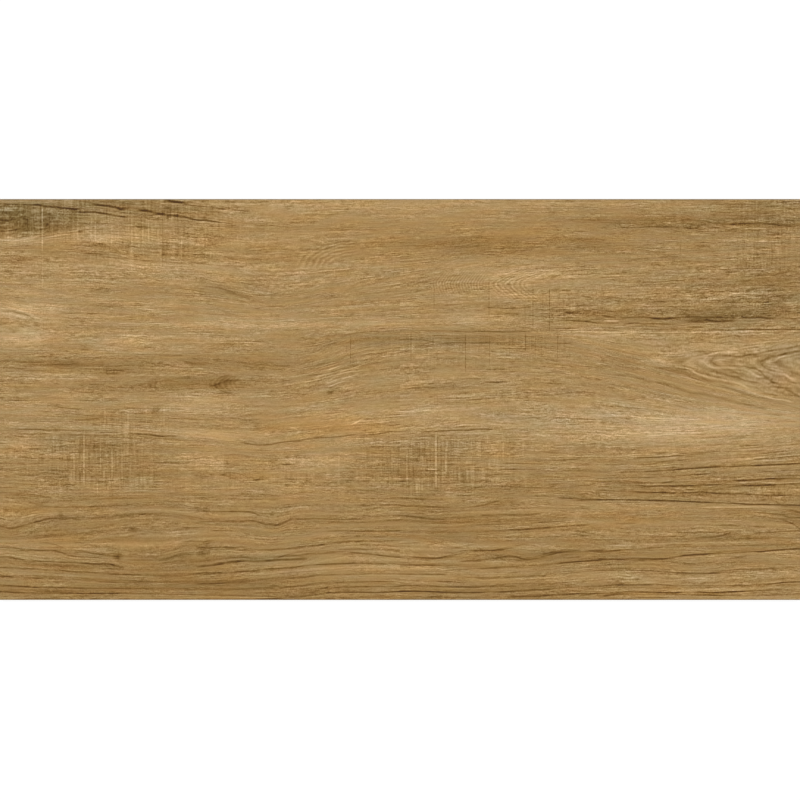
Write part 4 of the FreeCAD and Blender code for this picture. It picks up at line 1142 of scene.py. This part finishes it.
def lay_mark(layers, spots, offset, strength):
    """Lays one mark in the first layer that is still bare there, or else over weaker marks."""
    for layer in layers:
        if not layer[spots, 1].any():
            break
    stronger = np.abs(strength) > np.abs(layer[spots, 1])
    layer[spots[stronger], 0] = offset[stronger]
    layer[spots[stronger], 1] = strength[stronger]


def line_layers(lines, columns, rows):
    """For each layer, how far each point lies from a traced line, and that line's tone there."""
    layers = np.zeros((LINE_LAYERS, len(columns), 2))
    for width, tone, *points in sorted(lines, key=lambda line: -abs(line[1])):
        (start, _), (end, _) = points[0], points[-1]
        tail = min(LINE_TAIL, TAIL_SHARE * (end - start))
        first = start - (EDGE_REACH if start <= 0 else LINE_REACH) * tail
        last = end + (EDGE_REACH if end >= PHOTO_COLUMNS else LINE_REACH) * tail
        spots = np.flatnonzero((columns >= first) & (columns <= last))
        slope = course(points, columns[spots] + HALF_PIXEL) - course(points, columns[spots] - HALF_PIXEL)
        half_width = LINE_HALF * width * np.hypot(1, slope)
        offset = (rows[spots] - course(points, columns[spots])) / half_width
        near = np.abs(offset) < LINE_SIDE
        spots, offset = spots[near], offset[near]
        rise = (points[1][1] - points[0][1]) / (points[1][0] - points[0][0])
        steep = abs(rise) > STEEP
        first = start if steep else first
        fade = np.clip((columns[spots] - first) / (STEEP_TAIL if steep else tail), 0, 1)
        fade *= np.clip((last - columns[spots]) / tail, 0, 1)
        fade *= np.clip(LINE_SIDE - np.abs(offset), 0, 1)
        lay_mark(layers, spots, offset, LINE_SHARE * tone / HUNDRED * fade)
    return layers


def saw_layers(marks, columns, rows):
    """The same for the saw marks, whose offsets run along the grain."""
    layers = np.zeros((SAW_LAYERS, len(columns), 2))
    for column, top, bottom, width, tone in marks:
        aside = columns - column
        spots = np.flatnonzero((np.abs(aside) < SAW_GONE) & (rows > top) & (rows < bottom))
        offset = aside[spots] / (SAW_NARROWING * LINE_HALF * width)
        fade = soft_span(rows[spots], top, bottom, SAW_TAIL)
        fade *= np.clip((SAW_GONE - np.abs(aside[spots])) / (SAW_GONE - SAW_FULL), 0, 1)
        lay_mark(layers, spots, offset, SAW_SHARE * tone / HUNDRED * fade)
    return layers


def value_noise(seed, columns, rows):
    """Smooth seeded noise between minus one and one, with a cell of one unit."""
    column, row = (np.floor(values - values.min()).astype(int) for values in (columns, rows))
    across, down = columns - columns.min() - column, rows - rows.min() - row
    across, down = (share ** 2 * (3 - 2 * share) for share in (across, down))
    lattice = np.random.default_rng(seed).uniform(-1, 1, (row.max() + 2, column.max() + 2))
    upper = lattice[row, column] * (1 - across) + lattice[row, column + 1] * across
    lower = lattice[row + 1, column] * (1 - across) + lattice[row + 1, column + 1] * across
    return upper * (1 - down) + lower * down


place = np.empty(len(tile_mesh.vertices) * 3)
tile_mesh.vertices.foreach_get("co", place)
place = place.reshape(-1, 3)
on_face = np.flatnonzero(place[:, 2] > TILE_THICKNESS - FACE_BEVEL / 2)
columns = PHOTO_COLUMNS / 2 + place[on_face, 0] / PIXEL
rows = PHOTO_TOP_ROW + (TILE_WIDTH / 2 - place[on_face, 1]) / PIXEL

courses = [course(points, columns) for points in GRAIN_COURSES.values()]
grain = np.zeros_like(columns)
for upper, lower in zip(courses, courses[1:]):
    depth = np.maximum(lower - upper, NARROWEST_COURSE)
    grain += (lower.mean() - upper.mean()) * np.clip((rows - upper) / depth, 0, 1)

sawn = soft_boxes(SAWN_PATCHES, columns, rows)
ringed = soft_boxes(RINGED_PATCHES, columns, rows)

figure = np.zeros((len(columns), 2))
for left, right, spine, rise, drop, lean_above, lean_below, spacing, tone in FEATHERS:
    aside = rows - spine
    reach = np.where(aside < 0, rise, drop)
    bend = np.sqrt(aside ** 2 + FEATHER_BEND ** 2) - FEATHER_BEND
    tips = columns - np.where(aside < 0, lean_above, lean_below) * bend
    inside = soft_span(tips, left, right, FEATHER_TAIL)
    inside *= np.clip(FEATHER_FULL - FEATHER_FULL * np.abs(aside) / reach, 0, 1)
    phase = (tips - left) / spacing
    stronger = tone / HUNDRED * inside > figure[:, 1]
    figure[stronger, 0] = phase[stronger]
    figure[stronger, 1] = tone / HUNDRED * inside[stronger]
for column, row, flatness, nearest, farthest, spacing, tone in ARCHES:
    distance = np.hypot((columns - column) / flatness, rows - row)
    inside = soft_span(distance, nearest, farthest, ARCH_TAIL)
    inside *= np.clip((column - columns) / ARCH_TAIL, 0, 1) * np.clip((row - rows) / ARCH_TAIL, 0, 1)
    spots = inside > 0
    figure[spots, 0] = distance[spots] / spacing
    figure[spots, 1] = tone / HUNDRED * inside[spots]

lines = line_layers([line for group in GRAIN_LINES.values() for line in group], columns, rows)
saw = saw_layers([mark for group in SAW_MARKS.values() for mark in group], columns, rows)
washes = WASH_SHARE * patch_sum(TONE_PATCHES, columns, rows) + patch_sum(KNOTS, columns, rows)
warmth = patch_sum(WARM_PATCHES, columns, rows)
busyness = patch_sum(BUSY_PATCHES, columns, rows)


def keep_on_face(name, *values):
    """Keeps up to three numbers for each point of the face as an attribute of the mesh."""
    everywhere = np.zeros((len(tile_mesh.vertices), 3))
    for number, value in enumerate(values):
        everywhere[on_face, number] = value
    kept = tile_mesh.attributes.new(name, "FLOAT_VECTOR", "POINT")
    kept.data.foreach_set("vector", everywhere.ravel())


keep_on_face("grain", grain * PIXEL, washes, warmth)
keep_on_face("figure", *figure.T, sawn)
keep_on_face("rings", ringed, busyness)
for number, layer in enumerate(lines):
    keep_on_face(f"lines_{number}", *layer.T)
for number, layer in enumerate(saw):
    keep_on_face(f"saw_{number}", *layer.T)

# The pressed relief: the dark lines are grooves, and the fibres between them stand a little uneven.
# Depths are metres, and lengths along and across the face are pixels of the photograph.
GROOVE_DEPTH = 0.00050
FIBRE_DEPTH = 0.00006
FIBRE_LENGTH = 60.0
FIBRE_WIDTH = 3.0
FIBRE_SEED = 7
DEEPEST = 0.0003
RIM_COLUMNS = 4.0
RIM_ROWS = 3.0
grooves = np.zeros_like(columns)
for layer in lines:
    profile = np.clip(1 - np.abs(layer[:, 0]), 0, 1)
    grooves = np.maximum(grooves, GROOVE_DEPTH * profile * np.maximum(-layer[:, 1], 0))
fibres = FIBRE_DEPTH * (1 + value_noise(FIBRE_SEED, columns / FIBRE_LENGTH, grain / FIBRE_WIDTH)) / 2
rim = soft_span(columns, columns.min(), columns.max(), RIM_COLUMNS)
rim *= soft_span(rows, rows.min(), rows.max(), RIM_ROWS)
place[on_face, 2] -= rim * np.minimum(grooves + fibres, DEEPEST)
tile_mesh.vertices.foreach_set("co", place.ravel())
tile_mesh.update()

# Colours of the print, from the darkest crack to the palest wood, as they show on a screen
PRINT_COLOURS = (
    (77, 46, 10), (105, 72, 20), (135, 102, 51), (165, 133, 83), (195, 162, 114), (225, 193, 146),
)
DARKEST_TONE = -0.25
MIDDLE_TONE = 0.5
PALEST_TONE = 1.0
RED_WARMTH = 0.055
GREEN_WARMTH = -0.02
BLUE_WARMTH = -0.16
WARM_LENGTH = 0.06
WARM_WIDTH = 0.012
WARM_STRAY = 2.8
OLIVE_LENGTH = 0.045
OLIVE_WIDTH = 0.010
OLIVE_STRAY = 0.13

# Fine figure between the traced marks: length and width in metres, tone
FIBRES = {
    "long fibres": (0.20, 0.0022, 0.30),
    "fibres": (0.060, 0.0017, 0.42),
    "short fibres": (0.022, 0.0016, 0.45),
    "flecks": (0.0075, 0.0016, 0.51),
    "dust": (0.0022, 0.0016, 0.48),
}
RIPPLE_LENGTH = 0.022
RIPPLE_WIDTH = 0.008
RIPPLE = 0.0035
BAND_LENGTH = 0.50
BAND_WIDTH = 0.009
BAND_TONE = 0.13
BUSY_LENGTH = 0.07
BUSY_WIDTH = 0.016
BUSY_LEAST = 0.6
BUSY_MOST = 1.4
SAWN_BUSY = 0.35
RING_LENGTH = 0.60
RING_WIDTH = 0.0048
RING_TONE = 0.38
PORE_LENGTH = 0.020
PORE_WIDTH = 0.0018
PORE_FROM = 0.10
PORE_FULL = 0.26
PORE_TONE = -0.20
SAW_PITCH = 0.0030
SAW_REACH = 0.035
SAW_TONE = 0.42
SAW_PATCH_LENGTH = 0.030
SAW_PATCH_WIDTH = 0.018
SAW_PATCH_LEAST = 0.2
SAW_PATCH_MOST = 1.5
BLADE_PITCH = 0.0065
BLADE_REACH = 0.09
BLADE_TONE = 0.26
WAVER_LENGTH = 0.012
WAVER_WIDTH = 0.008
WAVER = 0.9
BREAK_LENGTH = 0.012
BREAK_WIDTH = 0.004
DOT_LENGTH = 0.030
DOT_WIDTH = 0.0026
DOT_LEAST = 0.35
DOT_MOST = 1.45
HAT_FALL = -1.2
HAT_RIM = -1.4
NOISE_DETAIL = 1.0
NOISE_ROUGHNESS = 0.5
NOISE_MIDDLE = 0.5
NOISE_SPREAD = 0.15

# Sheen of the glaze, a little rougher in the dark grain, and the fine unevenness of its skin
DARK_GRAIN = 0.2
PALE_GRAIN = 0.8
DARK_ROUGHNESS = 0.62
PALE_ROUGHNESS = 0.50
GLAZE_SPECULAR = 0.2
GLAZE_BUMP = 0.15
GLAZE_BUMP_DEPTH = 0.0004

# How a screen's numbers are coded
SCREEN_FULL = 255
SCREEN_KNEE = 0.04045
SCREEN_SLOPE = 12.92
SCREEN_LIFT = 0.055
SCREEN_POWER = 2.4


def screen_colour(red, green, blue):
    """A colour as it shows on a screen, turned to the linear values that the renderer takes."""
    linear = []
    for part in (red, green, blue):
        share = part / SCREEN_FULL
        curved = ((share + SCREEN_LIFT) / (1 + SCREEN_LIFT)) ** SCREEN_POWER
        linear.append(share / SCREEN_SLOPE if share <= SCREEN_KNEE else curved)
    return linear + [1.0]


def carried(tree, value, low, high, least, most):
    """A value carried over from one range to another, and stopped at its ends."""
    return add(tree, "ShaderNodeMapRange", value, low, high, least, most).outputs[0]


def stretched_noise(tree, along, across, length, width):
    """Noise about zero, drawn out along the grain."""
    x = sum_up(tree, "DIVIDE", along, length)
    y = sum_up(tree, "DIVIDE", across, width)
    vector = add(tree, "ShaderNodeCombineXYZ", x, y, length + width).outputs[0]
    noise = add(tree, "ShaderNodeTexNoise", vector, 1.0, NOISE_DETAIL, NOISE_ROUGHNESS).outputs[0]
    return sum_up(tree, "SUBTRACT", noise, NOISE_MIDDLE)


def kept_on_face(tree, name):
    """The three numbers that the mesh keeps under one name."""
    kept = add(tree, "ShaderNodeAttribute", attribute_name=name).outputs["Vector"]
    return add(tree, "ShaderNodeSeparateXYZ", kept).outputs


def drawn_mark(tree, name):
    """A traced line or saw mark, dark or light along its middle and soft at its sides."""
    offset, strength, _ = kept_on_face(tree, name)
    square = sum_up(tree, "MULTIPLY", offset, offset)
    fall = sum_up(tree, "EXPONENT", sum_up(tree, "MULTIPLY", square, HAT_FALL))
    profile = sum_up(tree, "MULTIPLY", fall, sum_up(tree, "MULTIPLY_ADD", square, HAT_RIM, 1.0))
    return sum_up(tree, "MULTIPLY", profile, strength)


def dress(tree, colour, roughness, specular, height, bump, bump_depth):
    """Gives a surface its colour, its sheen and its fine unevenness."""
    surface = tree.nodes["Principled BSDF"]
    uneven = add(tree, "ShaderNodeBump", bump, bump_depth)
    feed(tree, uneven.inputs["Height"], height)
    feed(tree, surface.inputs["Base Color"], colour)
    feed(tree, surface.inputs["Roughness"], roughness)
    feed(tree, surface.inputs["Specular IOR Level"], specular)
    feed(tree, surface.inputs["Normal"], uneven.outputs[0])


def print_the_face(material):
    """Matt glaze over the jetted picture of the boards."""
    material.use_nodes = True
    tree = material.node_tree
    here = add(tree, "ShaderNodeTexCoord").outputs["Object"]
    along, across, _ = add(tree, "ShaderNodeSeparateXYZ", here).outputs
    grain, wash, warmth = kept_on_face(tree, "grain")
    phase, feather, sawn = kept_on_face(tree, "figure")
    ringed, busyness, _ = kept_on_face(tree, "rings")

    def weigh(amount, weight, total):
        """A layer of tone, times its weight, laid on what is there already."""
        return sum_up(tree, "MULTIPLY_ADD", amount, weight, total)

    # The fibres are busy in some places and calm in others, and busiest where the saw has torn them.
    busy = stretched_noise(tree, along, grain, BUSY_LENGTH, BUSY_WIDTH)
    busy = carried(tree, busy, -NOISE_SPREAD, NOISE_SPREAD, BUSY_LEAST, BUSY_MOST)
    busy = weigh(sawn, SAWN_BUSY, sum_up(tree, "ADD", busy, busyness))
    ripple = stretched_noise(tree, along, grain, RIPPLE_LENGTH, RIPPLE_WIDTH)
    wavy = weigh(ripple, RIPPLE, grain)
    fibres = 0.0
    for length, width, amount in FIBRES.values():
        fibres = weigh(stretched_noise(tree, along, wavy, length, width), amount, fibres)
    pores = stretched_noise(tree, along, grain, PORE_LENGTH, PORE_WIDTH)
    pores = carried(tree, pores, PORE_FROM, PORE_FULL, 0.0, 1.0)
    fibres = weigh(pores, PORE_TONE, fibres)

    tone = sum_up(tree, "ADD", wash, MIDDLE_TONE)
    tone = weigh(fibres, busy, tone)
    tone = weigh(stretched_noise(tree, along, grain, BAND_LENGTH, BAND_WIDTH), BAND_TONE, tone)
    rings = stretched_noise(tree, along, grain, RING_LENGTH, RING_WIDTH)
    tone = weigh(sum_up(tree, "MULTIPLY", rings, ringed), RING_TONE, tone)

    teeth = weigh(stretched_noise(tree, along, across, SAW_PITCH, SAW_REACH), SAW_TONE, 0.0)
    teeth = weigh(stretched_noise(tree, along, across, BLADE_PITCH, BLADE_REACH), BLADE_TONE, teeth)
    torn = stretched_noise(tree, along, across, SAW_PATCH_LENGTH, SAW_PATCH_WIDTH)
    torn = carried(tree, torn, -NOISE_SPREAD, NOISE_SPREAD, SAW_PATCH_LEAST, SAW_PATCH_MOST)
    tone = weigh(teeth, sum_up(tree, "MULTIPLY", torn, sawn), tone)
    phase = weigh(stretched_noise(tree, along, across, WAVER_LENGTH, WAVER_WIDTH), WAVER, phase)
    chevrons = sum_up(tree, "SINE", sum_up(tree, "MULTIPLY", phase, 2 * math.pi))
    tone = weigh(chevrons, feather, tone)

    broken = sum_up(tree, "ADD", stretched_noise(tree, along, grain, BREAK_LENGTH, BREAK_WIDTH), 1.0)
    for number in range(LINE_LAYERS):
        tone = weigh(drawn_mark(tree, f"lines_{number}"), broken, tone)
    dotted = stretched_noise(tree, along, grain, DOT_LENGTH, DOT_WIDTH)
    dotted = carried(tree, dotted, -NOISE_SPREAD, NOISE_SPREAD, DOT_LEAST, DOT_MOST)
    for number in range(SAW_LAYERS):
        tone = weigh(drawn_mark(tree, f"saw_{number}"), dotted, tone)

    ramp = add(tree, "ShaderNodeValToRGB", carried(tree, tone, DARKEST_TONE, PALEST_TONE, 0.0, 1.0))
    stops = ramp.color_ramp.elements
    for number in range(1, len(PRINT_COLOURS) - 1):
        stops.new(number / (len(PRINT_COLOURS) - 1))
    for stop, colour in zip(stops, PRINT_COLOURS):
        stop.color = screen_colour(*colour)
    warmth = weigh(stretched_noise(tree, along, grain, WARM_LENGTH, WARM_WIDTH), WARM_STRAY, warmth)
    olive = stretched_noise(tree, along, grain, OLIVE_LENGTH, OLIVE_WIDTH)
    red = weigh(warmth, RED_WARMTH, 1.0)
    green = weigh(olive, OLIVE_STRAY, weigh(warmth, GREEN_WARMTH, 1.0))
    blue = weigh(warmth, BLUE_WARMTH, 1.0)
    tint = add(tree, "ShaderNodeCombineXYZ", red, green, blue).outputs[0]
    warmed = add(tree, "ShaderNodeVectorMath", ramp.outputs[0], tint, operation="MULTIPLY").outputs[0]
    rough = carried(tree, tone, DARK_GRAIN, PALE_GRAIN, DARK_ROUGHNESS, PALE_ROUGHNESS)
    dress(tree, warmed, rough, GLAZE_SPECULAR, tone, GLAZE_BUMP, GLAZE_BUMP_DEPTH)


print_the_face(glaze)

# The porcelain body
#
# The sides and the back are bare fired clay, buff and speckled. The sides are ground, which
# leaves fine lines along them. The ribs of the back carry a thin white wash, which keeps the clay
# from sticking to the kiln's rollers.

BODY_COLOUR = (146, 130, 104)
SPECK_COLOUR = (108, 94, 72)
WASH_COLOUR = (226, 222, 214)
SPECK_SIZE = 0.0012
SPECK_DETAIL = 2.0
SPECK_FROM = 0.58
SPECK_FULL = 0.72
SPECK_SHARE = 0.8
CLOUD_SIZE = 0.06
CLOUD_DETAIL = 3.0
CLAY_NOISE_ROUGHNESS = 0.6
WASH_HEIGHT = 0.0001
WASH_END_HEIGHT = 0.0004
WASH_FROM = 0.4
WASH_FULL = 0.6
WASH_LEAST = 0.15
WASH_MOST = 0.85
GRIND_LENGTH = 0.05
GRIND_WIDTH = 0.0004
GRIND_SPREAD = 0.2
GRIND_DARK = 0.9
GRIND_LIGHT = 1.05
CLOUD_DARK = 0.3
CLOUD_LIGHT = 0.7
CLAY_SMOOTHEST = 0.72
CLAY_ROUGHEST = 0.88
CLAY_SPECULAR = 0.3
CLAY_BUMP = 0.3
CLAY_BUMP_DEPTH = 0.0001


def mixed(tree, share, first, second):
    """One colour passing over to another by a share."""
    mix = add(tree, "ShaderNodeMix", share, first, second, data_type="RGBA")
    return next(socket for socket in mix.outputs if socket.enabled)


def fire_the_body(material):
    """Bare porcelain: speckled clay, ground lines on the sides and white wash on the ribs."""
    material.use_nodes = True
    tree = material.node_tree
    here = add(tree, "ShaderNodeTexCoord").outputs["Object"]
    x, y, z = add(tree, "ShaderNodeSeparateXYZ", here).outputs

    def cloudy(size, detail):
        """Even noise with patches of about this size."""
        return add(tree, "ShaderNodeTexNoise", here, 1 / size, detail, CLAY_NOISE_ROUGHNESS).outputs[0]

    specks = carried(tree, cloudy(SPECK_SIZE, SPECK_DETAIL), SPECK_FROM, SPECK_FULL, 0.0, SPECK_SHARE)
    clouds = cloudy(CLOUD_SIZE, CLOUD_DETAIL)
    clay = mixed(tree, specks, screen_colour(*BODY_COLOUR), screen_colour(*SPECK_COLOUR))
    on_ribs = carried(tree, z, WASH_HEIGHT, WASH_END_HEIGHT, 1.0, 0.0)
    wash = carried(tree, clouds, WASH_FROM, WASH_FULL, WASH_LEAST, WASH_MOST)
    back = mixed(tree, sum_up(tree, "MULTIPLY", on_ribs, wash), clay, screen_colour(*WASH_COLOUR))
    ground = stretched_noise(tree, sum_up(tree, "ADD", x, y), z, GRIND_LENGTH, GRIND_WIDTH)
    shade = carried(tree, ground, -GRIND_SPREAD, GRIND_SPREAD, GRIND_DARK, GRIND_LIGHT)
    lined = add(tree, "ShaderNodeVectorMath", back, shade, operation="SCALE").outputs[0]
    rough = carried(tree, clouds, CLOUD_DARK, CLOUD_LIGHT, CLAY_SMOOTHEST, CLAY_ROUGHEST)
    dress(tree, lined, rough, CLAY_SPECULAR, specks, CLAY_BUMP, CLAY_BUMP_DEPTH)


fire_the_body(body)
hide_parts(NODE)
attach(tile, "root")

# The floor, the light and the camera
#
# A plain white floor and a soft white room. The tile lies flat on its back, and the camera looks
# straight down on the printed face, which fills the picture from side to side.

FLOOR_HALF = 20.0
FLOOR_DROP = 0.0002
FLOOR_PAINT = 0.25
FLOOR_GLOW = 0.82
WHITE = (1.0, 1.0, 1.0, 1.0)
ROOM_LIGHT = 0.60
LAMP_POWER = 60.0
LAMP_SIZE = 3.0
LAMP_PLACES = ((-3.0, 2.0, 4.0), (3.0, 2.0, 4.0), (0.0, -3.5, 4.0))
LENS = 85.0
SENSOR = 36.0
CAMERA_ASIDE = (PHOTO_TOP_ROW + PHOTO_BOTTOM_ROW - PHOTO_COLUMNS) / 2 * PIXEL
CAMERA_HEIGHT = TILE_THICKNESS + PHOTO_COLUMNS * PIXEL * LENS / SENSOR

floor_mesh = bpy.data.meshes.new("floor")
corners = [(x * FLOOR_HALF, y * FLOOR_HALF, -FLOOR_DROP) for x, y in ((-1, -1), (1, -1), (1, 1), (-1, 1))]
floor_mesh.from_pydata(corners, [], [range(len(corners))])
floor = bpy.data.objects.new("floor", floor_mesh)
bpy.context.scene.collection.objects.link(floor)
paint = bpy.data.materials.new("white floor")
paint.use_nodes = True
tree = paint.node_tree
tree.nodes.remove(tree.nodes["Principled BSDF"])
rays = add(tree, "ShaderNodeLightPath").outputs
seen = sum_up(tree, "MAXIMUM", rays["Is Camera Ray"], rays["Is Glossy Ray"])
seen = sum_up(tree, "MAXIMUM", seen, rays["Is Transmission Ray"])
matt = add(tree, "ShaderNodeBsdfDiffuse", (FLOOR_PAINT, FLOOR_PAINT, FLOOR_PAINT, 1.0)).outputs[0]
glow = add(tree, "ShaderNodeEmission", WHITE, sum_up(tree, "MULTIPLY", seen, FLOOR_GLOW)).outputs[0]
both = add(tree, "ShaderNodeAddShader", matt, glow).outputs[0]
tree.links.new(both, tree.nodes["Material Output"].inputs["Surface"])
floor_mesh.materials.append(paint)

world = bpy.data.worlds.new("white room")
bpy.context.scene.world = world
world.use_nodes = True
tree = world.node_tree
rays = add(tree, "ShaderNodeLightPath").outputs
seen = sum_up(tree, "MAXIMUM", rays["Is Camera Ray"], rays["Is Transmission Ray"])
strength = carried(tree, seen, 0.0, 1.0, ROOM_LIGHT, 1.0)
sky = tree.nodes["Background"]
feed(tree, sky.inputs["Color"], WHITE)
feed(tree, sky.inputs["Strength"], strength)

for number, lamp_place in enumerate(LAMP_PLACES):
    light = bpy.data.lights.new(f"soft lamp {number}", "AREA")
    light.energy = LAMP_POWER
    light.size = LAMP_SIZE
    lamp = bpy.data.objects.new(f"soft lamp {number}", light)
    lamp.location = lamp_place
    lamp.rotation_euler = (-Vector(lamp_place)).to_track_quat("-Z", "Y").to_euler()
    bpy.context.scene.collection.objects.link(lamp)

camera = bpy.data.objects.new("camera", bpy.data.cameras.new("camera"))
camera.data.lens = LENS
camera.data.sensor_width = SENSOR
camera.location = (0.0, CAMERA_ASIDE, CAMERA_HEIGHT)
bpy.context.scene.collection.objects.link(camera)
bpy.context.scene.camera = camera
bpy.context.scene.view_settings.view_transform = "Standard"
